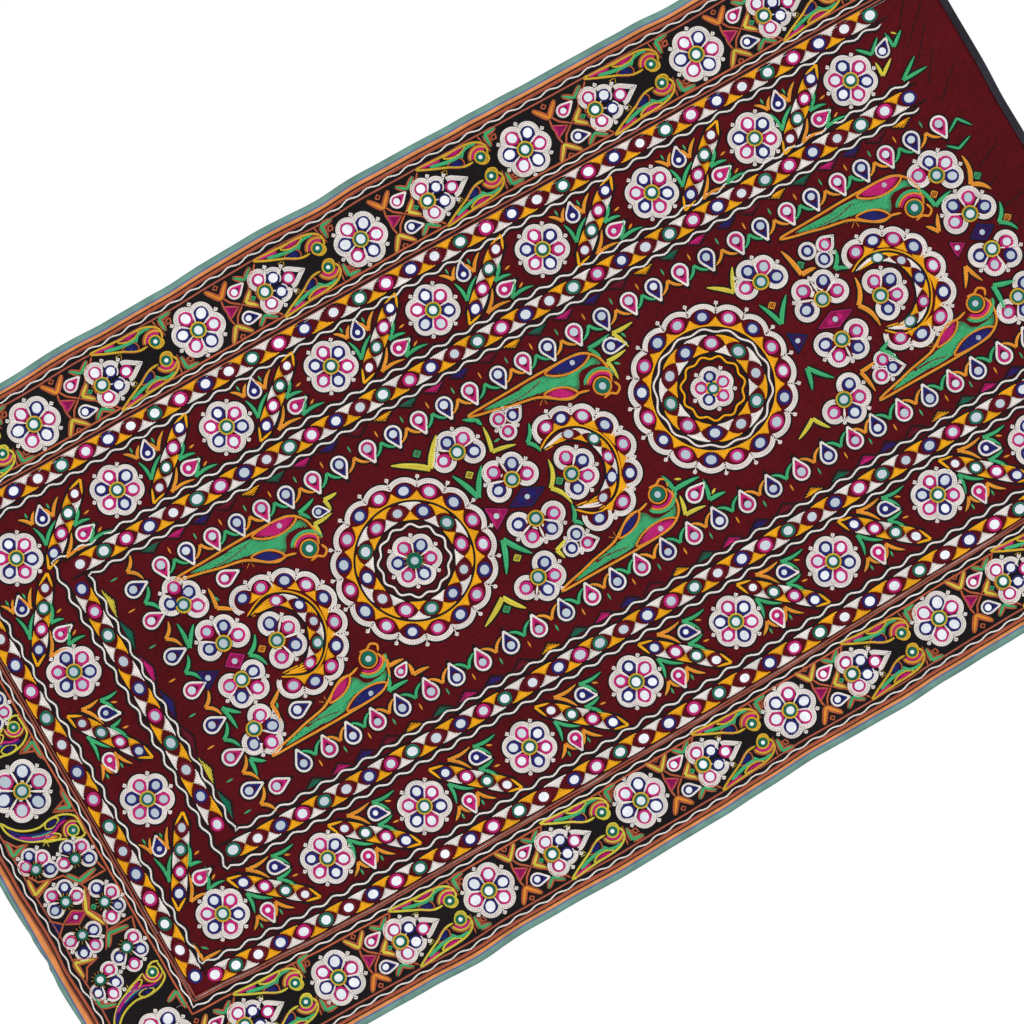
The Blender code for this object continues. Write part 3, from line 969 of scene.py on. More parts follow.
# The two roundels: radii of the rings of mirrors, wavy lines by radius, thread and number of
# waves, and the flower in the middle by turn, petals, reach, size and ring
roundels = (
    {
        "middle": (-7, 797), "outer": 66.0, "inner": 41.5, "innerColours": "rgmn", "innerCount": 10,
        "waves": ((53.5, "white", 14), (28.5, "yellow", 11)),
        "flower": (96, 5, 12.6, 0.90, "yellow"), "rays": None,
    },
    {
        "middle": (-7, 480), "outer": 65.0, "inner": 46.0, "innerColours": "mgnr", "innerCount": 12,
        "waves": ((32.6, "white", 12),),
        "flower": (70, 6, 15.6, 0.98, "darkGreen"), "rays": (7.4, 10.4),
    },
)
roundelShape = {"count": 17, "firstPetal": 14.4, "petalInset": 6.0, "picot": (9.0, 12.8)}


def roundel(table):
    x, y = table["middle"]
    outerReach, innerReach = table["outer"], table["inner"]
    count = roundelShape["count"]
    outer = trackOf(arc(x, y, outerReach, 90, 450, 2.0))
    reach = outer["lengths"][-1]
    stops = [reach * (k + 0.25) / count for k in range(count)]
    mirrorBand(outer, stops, "mn", (("yellow", "yellow"), (None, None)), step=3.0, closed=True)
    ring("yellow", x, y, outerReach - 8.3, 1.9, 0.34, 3.0)

    def outside(points, petalX, petalY):
        return np.hypot(points[:, 0] - x, points[:, 1] - y) > outerReach + 2.5

    inward = (outerReach - roundelShape["petalInset"]) / outerReach
    centres = [tuple(onTrack(outer, [stop], 0.0)[0]) for stop in stops]
    centres = [(x + (a - x) * inward, y + (b - y) * inward) for a, b in centres]
    petalRows(centres, roundelShape["firstPetal"], picots=False, keep=outside)
    for k in range(count):
        angle = math.radians(90 + 360 * (k + 0.75) / count)
        ray = np.array((math.cos(angle), math.sin(angle)))
        loop(*((x, y) + ray * (outerReach + past) for past in roundelShape["picot"]))
    ring("black", x, y, outerReach - 9.1, 2.0, 0.16, 3.4)
    inner = trackOf(arc(x, y, innerReach, 80, 440, 2.0))
    reach = inner["lengths"][-1]
    stops = [reach * k / table["innerCount"] for k in range(table["innerCount"])]
    mirrorBand(inner, stops, table["innerColours"], (("yellow", "white"), ("white", "yellow")),
               step=3.0, closed=True)
    for beside in (9.0, -9.0):
        ring("black", x, y, innerReach + beside, 2.0, 0.16, 3.4)
    for radius, thread, waves in table["waves"]:
        angle = np.linspace(0, 2 * np.pi, 90)
        swing = radius + 1.5 * np.sin(waves * angle)
        around = np.column_stack((x + swing * np.cos(angle), y + swing * np.sin(angle)))
        sew(thread, around, 1.9, 0.38)
        for beside in (2.4, -2.4):
            sew("black", offset(around, beside), 2.0, 0.12)
    turn, petals, petalReach, size, outerRing = table["flower"]
    flower(x, y, turn, petals, petalReach, size, outer=outerRing)
    if table["rays"]:
        radialStitches(x, y, *table["rays"])


# Crescents: the mirrors of the rim, the two curves of the moon, the mirrors in it, the threads
# of its wedges and of its tips, and the petals of the flower in its arms
crescents = (
    {
        "middle": (-4, 973),
        "rim": ((-50, 973, "m"), (-51, 992, "n"), (-43, 1009, "m"), (-28, 1022, "n"), (-4, 1028.5, "m"),
                (22, 1025, "n"), (40.5, 1010.5, "m"), (45.8, 988.5, "n"), (38.6, 969.5, "m")),
        "outer": ((-34, 962), (-39.5, 973), (-40.5, 985), (-35, 1000), (-22, 1012.5), (-3, 1018.3),
                  (16, 1013.5), (30, 1003), (36.5, 988), (35, 974), (24, 961.5)),
        "inside": ((-34, 962), (-33, 974), (-32, 984), (-27, 994), (-17, 1002), (-4, 1005),
                   (9, 1002.5), (19, 995), (25, 984), (26.5, 973), (24, 961.5)),
        "inner": ((-35.3, 988, "g"), (-22.6, 1005.6, "r"), (-0.5, 1012.5, "n"), (20.1, 1004.3, "m"),
                  (29.8, 985, "g")),
        "wedges": ("yellow", "white"), "tips": ("white", "yellow"),
        "petals": ((-12.5, 988, "n"), (2.5, 986.5, "m"), (-18.7, 974.5, "m"), (10.3, 973, "n")),
    },
    {
        "middle": (-4, 645),
        "rim": ((-53, 646, "m"), (-53, 662, "n"), (-45, 680, "m"), (-28, 694, "n"), (-4, 700, "m"),
                (22, 692, "n"), (42, 673, "m"), (44, 647, "n")),
        "outer": ((-36, 632), (-42.5, 644), (-44, 657), (-37, 673), (-22, 684.5), (-4, 688.3),
                  (15, 683.5), (30, 673), (37, 658), (35.5, 645), (24, 632)),
        "inside": ((-36, 632), (-35, 645), (-32, 657), (-25, 668), (-15, 674), (-4, 676), (8, 673.5),
                   (17, 666.5), (23, 656), (25.5, 645), (24, 632)),
        "inner": ((-37.5, 661, "r"), (-22, 679, "g"), (-1, 682, "m"), (17, 676, "n"), (29.5, 659, "r")),
        "wedges": ("white", "yellow"), "tips": ("white", "yellow"),
        "petals": ((-10, 660, "n"), (5, 657, "m"), (-20, 648, "m"), (10, 643, "n")),
    },
    {
        "middle": (-7, 334),
        "rim": ((-56, 326, "n"), (-56.5, 345.5, "m"), (-51, 367.5, "n"), (-38, 383, "m"),
                (-19, 390.5, "n"), (5, 388.5, "m"), (25, 378.5, "n"), (39, 365, "m"),
                (43.5, 345.5, "n"), (37, 326, "m")),
        "outer": ((-38, 322), (-44.5, 336), (-46.3, 348), (-40, 363), (-27, 374.5), (-10, 379),
                  (8, 376), (22, 367), (31.5, 354), (32.5, 341), (22.5, 321.5)),
        "inside": ((-38, 322), (-36.5, 336), (-33.5, 349), (-24, 359), (-10, 363.3), (3, 360.5),
                   (14, 354), (21, 345.5), (23.5, 337), (22.5, 321.5)),
        "inner": ((-39, 351.5, "m"), (-24.7, 368, "n"), (-5.6, 371.8, "r"), (13.5, 365, "g"),
                  (26.3, 349.7, "m")),
        "wedges": ("white", "yellow"), "tips": ("yellow", "yellow"),
        "petals": ((-12, 349, "m"), (5, 347, "n"), (-24, 336, "n"), (9, 330, "m")),
    },
)


def nearestPlaces(track, spots):
    found = []
    for x, y in spots:
        apart = np.hypot(track["points"][:, 0] - x, track["points"][:, 1] - y)
        found.append(track["lengths"][int(np.argmin(apart))])
    return found


def sewRim(crescent):
    # the rim runs clockwise, so its right side is the inner one
    x, y = crescent["middle"]
    rim = [(a, b) for a, b, colour in crescent["rim"]]
    colours = "".join(colour for a, b, colour in crescent["rim"])
    outer = smoothLine(crescent["outer"], step=2.4)
    track = trackOf(smoothLine(rim, step=2.0))
    mirrorBand(track, nearestPlaces(track, rim), colours, ((None, None), ("yellow", "yellow")),
               0.95, 3.0)
    sew("yellow", offset(outer, 1.9), 1.7, 0.34)

    def outside(points, petalX, petalY):
        away = np.array((petalX - x, petalY - y + 6.0))
        away /= np.hypot(*away)
        end = min(np.hypot(petalX - a, petalY - b) for a, b in (rim[0], rim[-1])) < 6.0
        nearest = np.min([np.hypot(*(points - spot).T) for spot in outer], axis=0)
        return ((points - (petalX, petalY)) @ away > (-9.0 if end else -1.5)) & (nearest > 4.6)

    shifted = [(a + (x - a) * 3.0 / math.hypot(x - a, y - b), b + (y - b) * 3.0
                / math.hypot(x - a, y - b)) for a, b in rim]
    petalRows(shifted, 10.6, keep=outside)


def sewMoon(crescent):
    # the moon between the two curves, by its middle line and its half width along it
    x, y = crescent["middle"]
    curves = [smoothLine(crescent[which], step=2.4) for which in ("outer", "inside")]
    for curve in curves:
        sew("black", curve, 2.2, 0.34)
    spots = np.array([(a, b) for a, b, colour in crescent["inner"]])
    for a, b, colour in crescent["inner"]:
        turn = math.degrees(math.atan2(b - y, a - x)) + 90.0
        mirror(a, b, 3.7, ringThreads[colour], 2.0, 1.15, turn)
    edges = [trackOf(curve) for curve in curves]
    sides = [onTrack(edge, nearestPlaces(edge, spots), 0.0) for edge in edges]
    middles = [curves[0][0], *((sides[0] + sides[1]) / 2.0), curves[0][-1]]
    moon = trackOf(smoothLine(middles, step=2.0))
    places = nearestPlaces(moon, spots)
    halves = [0.4, *(np.hypot(*(sides[0] - sides[1]).T) / 2.0 - 1.1), 0.4]
    stops = [0.0, *places, moon["lengths"][-1]]

    def inMoon(start, end, share):
        along = np.linspace(start, end, max(3, int(abs(end - start) / 3.0) + 2))
        half = np.interp(along, stops, halves)
        middle = onTrack(moon, along, 0.0)
        return middle + (onTrack(moon, along, 1.0) - middle) * (half * share)[:, None]

    for order, turn in enumerate((1.0, -1.0)):
        for i, (start, end) in enumerate(zip(places, places[1:])):
            thread = crescent["wedges"][(i + order) % 2]
            for share in (0.90, 0.66, 0.42, 0.18):
                inner = (end - start) / 2.0 * math.sqrt(1.0 - share)
                if end - start - 2 * inner > 1.2:
                    sew(thread, inMoon(start + inner, end - inner, share * turn), 1.7, 0.34)
        for near, far in ((1.5, places[0] - 4.6), (moon["lengths"][-1] - 1.5, places[-1] + 4.6)):
            for share in (0.86, 0.30):
                ahead = near + (far - near) * (0.0 if share > 0.5 else 0.25)
                sew(crescent["tips"][order], inMoon(ahead, far, share * turn), 1.9, 0.34)


# Four petalled flowers and others of the field: middle, then petals
fieldFlowers = (
    ((-74, 1073), ((-80, 1086, "m"), (-66, 1085, "n"), (-88, 1073, "n"), (-82, 1058, "m"))),
    ((-28, 1082), ((-27, 1097, "n"), (-42, 1088, "m"), (-42, 1072, "n"), (-28, 1066, "m"))),
    ((10, 1083), ((11, 1098, "m"), (24, 1095, "n"), (24, 1078, "m"), (10, 1070, "n"))),
    ((60, 1082), ((66, 1095, "m"), (52, 1094, "n"), (74, 1082, "n"), (68, 1067, "m"))),
    ((-28, 925), ((-42, 934, "n"), (-28, 941, "m"), (-43, 913, "m"), (-26, 907, "n"))),
    ((13, 922), ((13, 938, "m"), (27, 931, "n"), (25, 912, "m"), (10, 906, "n"))),
    ((-70, 884), ((-81, 893, "m"), (-67, 899, "n"), (-84, 878, "n"), (-72, 869, "m"))),
    ((62, 896), ((52, 907, "n"), (67, 910, "m"), (77, 899, "n"), (68, 882, "m"))),
    ((-27, 595), ((-40, 602, "n"), (-25, 610, "m"), (-41, 583, "m"), (-24, 579, "n"))),
    ((15, 596), ((19, 613, "m"), (30, 604, "n"), (28, 585, "m"), (12, 579, "n"))),
    ((-74, 564), ((-82, 575, "m"), (-67, 578, "n"), (-86, 560, "n"), (-73, 549, "m"))),
    ((63, 571), ((54, 583, "n"), (69, 585, "m"), (77, 573, "n"), (66, 556, "m"))),
    ((-29, 290), ((-43, 298, "n"), (-29, 306, "m"), (-46, 282, "m"), (-31, 276, "n"))),
    ((8, 288), ((7, 301, "n"), (22, 297, "m"), (22, 280, "n"), (8, 275, "m"))),
    ((-78, 276), ((-86, 286, "n"), (-71, 287, "m"), (-96, 276, "m"), (-85, 266, "n"))),
    ((53, 275), ((45, 286, "m"), (59, 291, "n"), (72, 283, "m"), (65, 268, "n"))),
)
# small clusters of three: their mirrors, and a point at the first
fieldTriples = (
    (110, (-70, 952, "m"), (-59, 945, "n"), (-73, 935, "n")),
    (70, (59, 950, "n"), (48, 945, "m"), (60, 937, "m")),
    (110, (-78, 625, "n"), (-81, 612, "m"), (-67, 614, "m")),
    (80, (58, 626, "m"), (46, 621, "n"), (55, 611, "n")),
)
fieldDrops = ((-80, 321, 90, "m"), (58, 318, 90, "n"), (-88, 735, 70, "n"), (69, 733, 110, "m"),
              (-90, 426, 65, "n"), (75, 418, 120, "m"))
fieldPatches = (
    (((-16, 1083), (-8, 1095), (0, 1083), (-8, 1071)), "navy"),
    (((-14, 1052), (-7, 1064), (1, 1052)), "magenta"),
    (((-14, 926), (-6, 944), (2, 926), (-6, 908)), "magenta"),
    (((-16, 881), (-6, 896), (4, 881)), "navy"),
    (((-15, 599), (-6, 617), (3, 599), (-6, 581)), "navy"),
    (((-16, 560), (-5, 578), (6, 560)), "magenta"),
    (((-18, 291), (-10, 301), (-2, 291), (-10, 281)), "magenta"),
    (((-18, 256), (-9, 273), (1, 256)), "navy"),
)
fieldChevrons = {
    "green": (
        ((-8, 1101), (-24, 1111), (6, 1113)), ((-50, 1058), (-55, 1077), (-72, 1053)),
        ((40, 1067), (46, 1088), (68, 1065)), ((-46, 949), (-62, 958), (-40, 960)),
        ((40, 948), (56, 957), (34, 959)), ((-27, 881), (-48, 898), (-52, 872)),
        ((20, 881), (40, 898), (40, 875)), ((-49, 624), (-64, 634), (-36, 631)),
        ((35, 625), (20, 631), (42, 631)), ((-8, 305), (-22, 319), (8, 315)),
        ((-41, 261), (-58, 275), (-66, 262)), ((22, 259), (34, 272), (45, 262)),
        ((75, 258), (84, 270), (92, 256)), ((-91, 594), (-97, 583), (-84, 596)),
        ((-28, 560), (-52, 577), (-57, 549)), ((17, 560), (41, 577), (46, 547)),
        ((-96, 716), (-98, 739), (-83, 722)), ((80, 743), (81, 759), (61, 747)),
        ((56, 719), (57, 745), (39, 716)), ((-98, 410), (-103, 428), (-88, 417)),
        ((85, 400), (85, 420), (70, 408)),
    ),
    "orange": (
        ((-51, 1096), (-78, 1102), (-38, 1110)), ((-28, 1049), (-43, 1056), (-38, 1041)),
        ((12, 1054), (31, 1061), (29, 1044)), ((-6, 951), (-30, 961), (20, 959)),
        ((-57, 920), (-85, 914), (-56, 934)), ((48, 922), (70, 925), (46, 938)),
        ((-60, 301), (-80, 303), (-50, 315)), ((42, 300), (32, 314), (60, 300)),
        ((83, 427), (84, 443), (72, 428)), ((65, 411), (66, 426), (53, 412)),
    ),
    "lime": (
        ((-74, 858), (-95, 868), (-90, 838)), ((63, 862), (78, 872), (73, 842)),
        ((-77, 725), (-78, 745), (-58, 726)), ((81, 717), (83, 737), (63, 721)),
        ((-97, 742), (-97, 763), (-79, 749)),
        ((-2, 622), (-26, 633), (20, 632)), ((-58, 592), (-82, 596), (-53, 614)),
        ((50, 598), (45, 611), (60, 601)),
        ((-73, 535), (-97, 555), (-93, 505)), ((63, 533), (82, 547), (78, 506)),
        ((-97, 436), (-97, 449), (-85, 437)), ((-82, 417), (-83, 436), (-68, 417)),
    ),
}
fieldDashes = {"green": ((-68, 305, 20), (45, 304, 160), (-91, 750, 20), (-71, 732, 50),
                         (-65, 601, 90)),
               "lime": ((75, 750, 120), (49, 727, 60))}
fieldDiamonds = {"green": ((-91, 531), (74, 531), (-4, 632), (-65, 923), (-55, 1105)),
                 "orange": ((-7, 318), (-8, 1110), (-60, 1062), (-46, 882)),
                 "lime": ((-50, 563), (38, 563))}
fieldParrots = (
    (-58, 1040, -1.0, "magenta", "navy"), (46, 1045, 1.0, "navy", "magenta"),
    (-60, 710, -1.0, "navy", "magenta"), (52, 704, 1.0, "magenta", "navy"),
    (-65, 402, -1.0, "magenta", "navy"), (50, 398, 1.0, "navy", "magenta"),
)


def sewField():
    for middle, petals in fieldFlowers:
        cluster(middle, petals)
    for point, *petals in fieldTriples:
        cluster(None, petals, 0.86, point=point)
    for x, y, direction, colour in fieldDrops:
        drop(x, y, direction, colour, 0.72 if 400 < y < 500 else 1.0)
    for corners, thread in fieldPatches:
        patch(corners, thread, mirrorSize=2.6)
    for thread, places in fieldChevrons.items():
        for vertex, *tips in places:
            reach = max(math.hypot(a - vertex[0], b - vertex[1]) for a, b in tips)
            chevron(vertex, tips, thread, 4.2 + 0.17 * max(0.0, reach - 24.0),
                    -0.03 if abs(tips[0][1] - tips[1][1]) > 8 else -0.11)
    for thread, places in fieldDashes.items():
        for x, y, angle in places:
            dash(x, y, angle, thread, 6.0, 2.6)
    for thread, places in fieldDiamonds.items():
        for x, y in places:
            patch(((x - 3.6, y), (x, y + 4.0), (x + 3.6, y), (x, y - 4.0)), thread)
    for x, y, flip, wing, breast in fieldParrots:
        parrot("large", x, y, -flip, wing, breast, wide=1.06 if x < 0 else 0.94, tall=1.03)


# A repeat of the side borders, up from the middle of a flower. The half is sewn on both sides
sideRepeat = {
    "pitch": 172.0,
    "left": (-291.5, (240, 414, 585, 757, 937, 1110), 68, 1, (82, 82)),
    "right": (289.5, (228, 388, 550, 710, 871, 1035), 64, 3, (35, 100)),
    "drops": (13.5, 46, 72),
    "leaves": (
        ((14, 32), ((27.5, 22), (26.5, 44)), "orange", 2.8, "rust"),
        ((18.5, 60), ((26.5, 70), (26, 51)), "green", 2.8, "rust"),
        ((26, 146), ((27, 158), (13.5, 146)), "green", 3.2, "rust"),
    ),
    "lines": (
        (1.9, ((14, 32), (7, 30.5), (0, 30.5))),
        (1.9, ((14, 34), (7, 38), (0, 47))),
        (1.8, ((0, 47), (4, 52), (10, 59.5), (18, 63))),
        (1.8, ((18, 62), (10, 64), (0, 62.5))),
        (1.8, ((28, 76), (23, 72), (18, 63))),
        (1.7, ((22, 151), (18, 150), (18, 154), (22, 155), (22, 151))),
        (1.7, ((28, 139.5), (20, 141), (10, 144))),
        (1.5, ((25.5, 30), (28, 33), (25.5, 35), (23.5, 32.5), (25.5, 30))),
    ),
    "tree": ((-12.5, 71, "m"), (12.5, 71, "m"), (-7, 84, "n"), (7.5, 84.5, "n"), (0, 96.5, "m")),
}


def sideMotif(x, y, flip, pitch, lead, flowerTurn):
    def at(dx, dy):
        return x + dx * flip, y + dy * stretch

    stretch = pitch / sideRepeat["pitch"]
    if flowerTurn is not None:
        flower(x, y, flowerTurn, size=1.03, glass=4.4)
    covers[:] = [(x, y, 22.0), (x, y + pitch, 22.0)]
    covers.extend((*at(dx, dy), 8.0) for dx, dy, colour in sideRepeat["tree"])
    dropX, dropY, dropTurn = sideRepeat["drops"]
    for turn in (-1.0, 1.0):
        for width, points in sideRepeat["lines"]:
            sew("rust", path([at(a * turn, b) for a, b in points], 4.0), width, 0.3)
        for vertex, tips, thread, width, edge in sideRepeat["leaves"]:
            if thread == "orange" and turn > 0:
                thread = "lime"
            chevron(at(vertex[0] * turn, vertex[1]), [at(a * turn, b) for a, b in tips], thread,
                    width, 0.0, edge)
        drop(*at(dropX * turn, dropY), 90 - (90 - dropTurn) * turn * flip,
             "n" if turn * flip > 0 else "m", 0.80)
        parrot("small", *at(10.0 * turn, 133), -turn * flip, "magenta", "navy", lead, 1.0, stretch)
    patch([at(-5.5, 31.5), at(5.5, 31.5), at(0, 42)], "magenta", outline="rust")
    chevron(at(0, 50.5), (at(-8.5, 60), at(8.5, 60)), "lime", 3.2, 0.0, "rust")
    patch([at(-2, 58.5), at(0, 61), at(2, 58.5), at(0, 56)], "green", outline=None)
    covers.clear()
    hub = heart(*at(0, 71), 3.9)
    spots = []
    for dx, dy, colour in sideRepeat["tree"]:
        mirror(*at(dx, dy), 4.2, ringThreads[colour], 2.2)
        spots.append(at(dx, dy))
    petalRows(spots, 6.9, hub, shift=0.4, points={4: (90, 1.75)})


def sewSideBorders():
    for which, flip in (("left", 1.0), ("right", -1.0)):
        x, heights, foot, limeLeads, turns = sideRepeat[which]
        for i, y in enumerate((foot,) + heights):
            pitch = (heights[i] - y) if i < len(heights) else 171.0
            middle = drawIn([(x, y + 80)])[0][0]
            lead = "lime" if i < limeLeads else "gold"
            # the foot's own corner flower takes the place of the first
            flowerTurn = None if i == 0 else turns[i % 2]
            sideMotif(middle, y, flip, pitch, lead, flowerTurn)


# Clusters of the foot border: middle, then petals. The left half mirrors the right
footClusters = (
    ((74, 73), ((67, 84, "m"), (80, 85, "n"), (62, 72, "n"), (73, 62, "m"))),
    ((65, 37), ((58, 48, "m"), (71, 49, "n"), (51, 38, "n"), (58, 30, "m"))),
    ((104, 46), ((92, 52, "n"), (104, 58, "m"), (93, 38, "m"), (106, 34, "n"))),
    ((122, 77), ((107, 77, "n"), (117, 87, "m"), (131, 86, "n"), (137, 76, "m"))),
    ((138, 44), ((139, 56, "n"), (152, 50, "m"), (153, 37, "n"), (138, 32, "m"))),
    ((168, 74), ((163, 84, "m"), (176, 84, "n"), (185, 72, "m"), (173, 63, "n"))),
    ((182, 38), ((178, 50, "m"), (191, 49, "n"), (199, 42, "m"), (192, 30, "n"))),
)


# vertex, tips, thread, width: sprigs between the clusters of the foot
footSprigs = (
    ((31, 93), ((13, 93), (26, 81)), "green", 3.0), ((94, 66), ((91, 85), (83, 59)), "green", 3.0),
    ((85, 25), ((69, 26), (79, 43)), "lime", 3.0), ((44, 25), ((30, 26), (40, 39)), "green", 3.0),
    ((121, 58), ((102, 67), (140, 67)), "lime", 3.2), ((149, 66), ((152, 85), (160, 59)), "green", 3.0),
    ((157, 25), ((173, 26), (163, 43)), "lime", 3.0), ((226, 93), ((244, 93), (231, 81)), "green", 2.8),
    ((204, 26), ((190, 25), (209, 40)), "green", 3.0),
)
footLines = (
    ((8, 95), (22, 91), (27, 77), (31, 84), (36, 96)), ((83, 88), (97, 92), (97, 66), (82, 56), (80, 44)),
    ((97, 66), (106, 70), (121, 61), (136, 70), (146, 66)), ((160, 88), (146, 92), (146, 66), (161, 56)),
    ((114, 47), (121, 58), (128, 47), (121, 34), (114, 47)), ((112, 24), (121, 34), (130, 24)),
    ((64, 26), (76, 33), (80, 45), (89, 24)), ((178, 26), (166, 33), (163, 46), (153, 24)),
    ((26, 24), (38, 32), (41, 43), (47, 24)), ((212, 40), (205, 32), (188, 24)),
)


def sewFoot():
    flower(-4, 62, 90, 6, 16.6, 1.10, glass=4.8)
    for flip in (1.0, -1.0):
        def across(points):
            return [(-4 + (a + 4) * flip, b) for a, b in points]

        for points in footLines:
            sew("rust", path(across(points), 4.0), 1.9, 0.3)
        for vertex, tips, thread, width in footSprigs:
            chevron(across([vertex])[0], across(tips), thread, width, 0.0, "rust")
        for middle, petals in footClusters:
            spots = [(*across([(a, b)])[0], colour) for a, b, colour in petals]
            x, y = across([middle])[0]
            cluster((x, y), spots, 0.84, None, rowCount=2)
            radialStitches(x, y, 5.8, 8.4, 13)
        patch(across(((116, 47), (121, 55.5), (126, 47), (121, 38))), "magenta", mirrorSize=2.2,
              outline=None)
        patch(across(((115, 25), (121, 32), (127, 25))), "navy")
        patch(across(((118.5, 66), (121, 68.5), (123.5, 66), (121, 63.5))), "green", outline=None)
        parrot("long", *across([(50.5, 84.5)])[0], flip, "navy", "orange", "lime")
        parrot("long", *across([(200, 82.5)])[0], -flip, "navy", "magenta", "lime", 0.86)
        flower(*across([(258, 62)])[0], 80, 6, 16.4, 1.06, glass=4.6)
        for x, y, turn, colour in ((300, 38, 45, "m"), (309, 72, 100, "n"), (290, 22, 200, "m")):
            drop(*across([(x, y)])[0], turn if flip > 0 else 180 - turn, colour, 0.85)
        chevron(across([(316, 94)])[0], across([(300, 94), (317, 80)]), "green", 3.0, 0.0, "rust")


def sewHeading():
    # thin dark lines in black thread that fan up into the heading
    for x in (-205, -188, -170, -150, -128, -60, -40, -18, 4, 26, 48, 70, 96, 120, 150, 176, 200):
        lean = 0.18 * x + dice.uniform(-6, 6)
        height = dice.uniform(1122, 1147)
        sew("black", line((x, 1108), (x + lean, height), 7.0), 1.0, 0.05)
    for vertex, *tips in (((-110, 1115), (-98, 1124), (-102, 1102)),
                          ((-85, 1103), (-90, 1118), (-93, 1094)),
                          ((84, 1108), (76, 1120), (90, 1096)),
                          ((112, 1112), (100, 1122), (118, 1098))):
        chevron(vertex, tips, "green", 2.6)


print("sewing the borders and bands")
sewBorders()
sewBands()
sewMiddleBand()
sewDropRows()
print("sewing the field")
for roundelTable in roundels:
    roundel(roundelTable)
for crescent in crescents:
    sewRim(crescent)
    sewMoon(crescent)
    cluster(crescent["middle"], crescent["petals"])
sewField()
print("sewing the side and foot borders")
sewSideBorders()
sewFoot()
sewHeading()
print("rows:", sum(len(each) for each in rows.values()), "mirrors:", len(mirrors))


# Nodes. Shader groups are shared by the materials
def add(tree, kind, values=None, output=0, **settings):
    # a node with its inputs linked or set, told by the output that is used
    node = tree.nodes.new(kind)
    for name, value in settings.items():
        setattr(node, name, value)
    for key, value in (values or {}).items():
        if isinstance(value, bpy.types.NodeSocket):
            tree.links.new(value, node.inputs[key])
        else:
            node.inputs[key].default_value = value
    return node.outputs[output]


def maths(tree, operation, *values):
    return add(tree, "ShaderNodeMath", dict(enumerate(values)), operation=operation)


def mixed(tree, share, first, second):
    return add(tree, "ShaderNodeMix", {0: share, 6: first, 7: second}, 2, data_type="RGBA")


def rangeOf(tree, value, fromLow, fromHigh, toLow, toHigh):
    return add(tree, "ShaderNodeMapRange", {0: value, 1: fromLow, 2: fromHigh, 3: toLow, 4: toHigh})


def attribute(tree, name):
    return add(tree, "ShaderNodeAttribute", output="Fac", attribute_name=name)


def noise(tree, coordinates, scale, detail=2.0):
    return add(tree, "ShaderNodeTexNoise", {"Vector": coordinates, "Scale": scale, "Detail": detail},
               "Fac")


def objectPlace(tree):
    return add(tree, "ShaderNodeTexCoord", output="Object")


def toned(tree, colour, value):
    return add(tree, "ShaderNodeHueSaturation", {"Color": colour, "Value": value})


def newGroup(name, inputs):
    # a shader group that gives a colour and a height
    group = bpy.data.node_groups.new(name, "ShaderNodeTree")
    for label, kind, default in inputs:
        socket = group.interface.new_socket(label, in_out="INPUT", socket_type=kind)
        socket.default_value = default
    for label, kind in (("Colour", "NodeSocketColor"), ("Height", "NodeSocketFloat")):
        group.interface.new_socket(label, in_out="OUTPUT", socket_type=kind)
    return group, group.nodes.new("NodeGroupInput"), group.nodes.new("NodeGroupOutput")


def chainStitchGroup():
    # loops of chain stitch along a sewn row, with painted shade darkening the hollows between the loops
    # and the sides of the row
    tree, given, made = newGroup(
        "chain stitch",
        (("Colour", "NodeSocketColor", (1, 1, 1, 1)), ("Painted Shade", "NodeSocketColor", (0, 0, 0, 1)),
         ("Stitch", "NodeSocketFloat", 2.4)))
    along = maths(tree, "DIVIDE", attribute(tree, "along"), given.outputs["Stitch"])
    swell = maths(tree, "SINE", maths(tree, "MULTIPLY", maths(tree, "FRACT", along), math.pi))
    across = maths(tree, "MULTIPLY", attribute(tree, "across"), 2.0)
    beside = maths(tree, "ABSOLUTE", maths(tree, "SUBTRACT", across, 1.0))
    hollow = maths(tree, "MULTIPLY", rangeOf(tree, beside, 0.10, 0.46, 1.0, 0.0),
                   rangeOf(tree, swell, 0.55, 0.98, 0.0, 1.0))
    edge = rangeOf(tree, beside, 0.62, 1.0, 0.0, 1.0)
    height = maths(tree, "SUBTRACT", 1.0, maths(tree, "MAXIMUM", hollow, edge))
    # painted shade: the hollows and the row's sides are mixed towards the darker shade colour
    paintedShade = maths(tree, "MAXIMUM", maths(tree, "MULTIPLY", hollow, 0.62),
                 maths(tree, "MULTIPLY", edge, 0.30))
    shade = mixed(tree, paintedShade, given.outputs["Colour"], given.outputs["Painted Shade"])
    tone = rangeOf(tree, attribute(tree, "tone"), 0.0, 1.0, 0.93, 1.07)
    worn = rangeOf(tree, noise(tree, objectPlace(tree), 90.0), 0.3, 0.7, 0.92, 1.08)
    bright = maths(tree, "MULTIPLY", tone, worn)
    tree.links.new(toned(tree, shade, bright), made.inputs["Colour"])
    tree.links.new(height, made.inputs["Height"])
    return tree


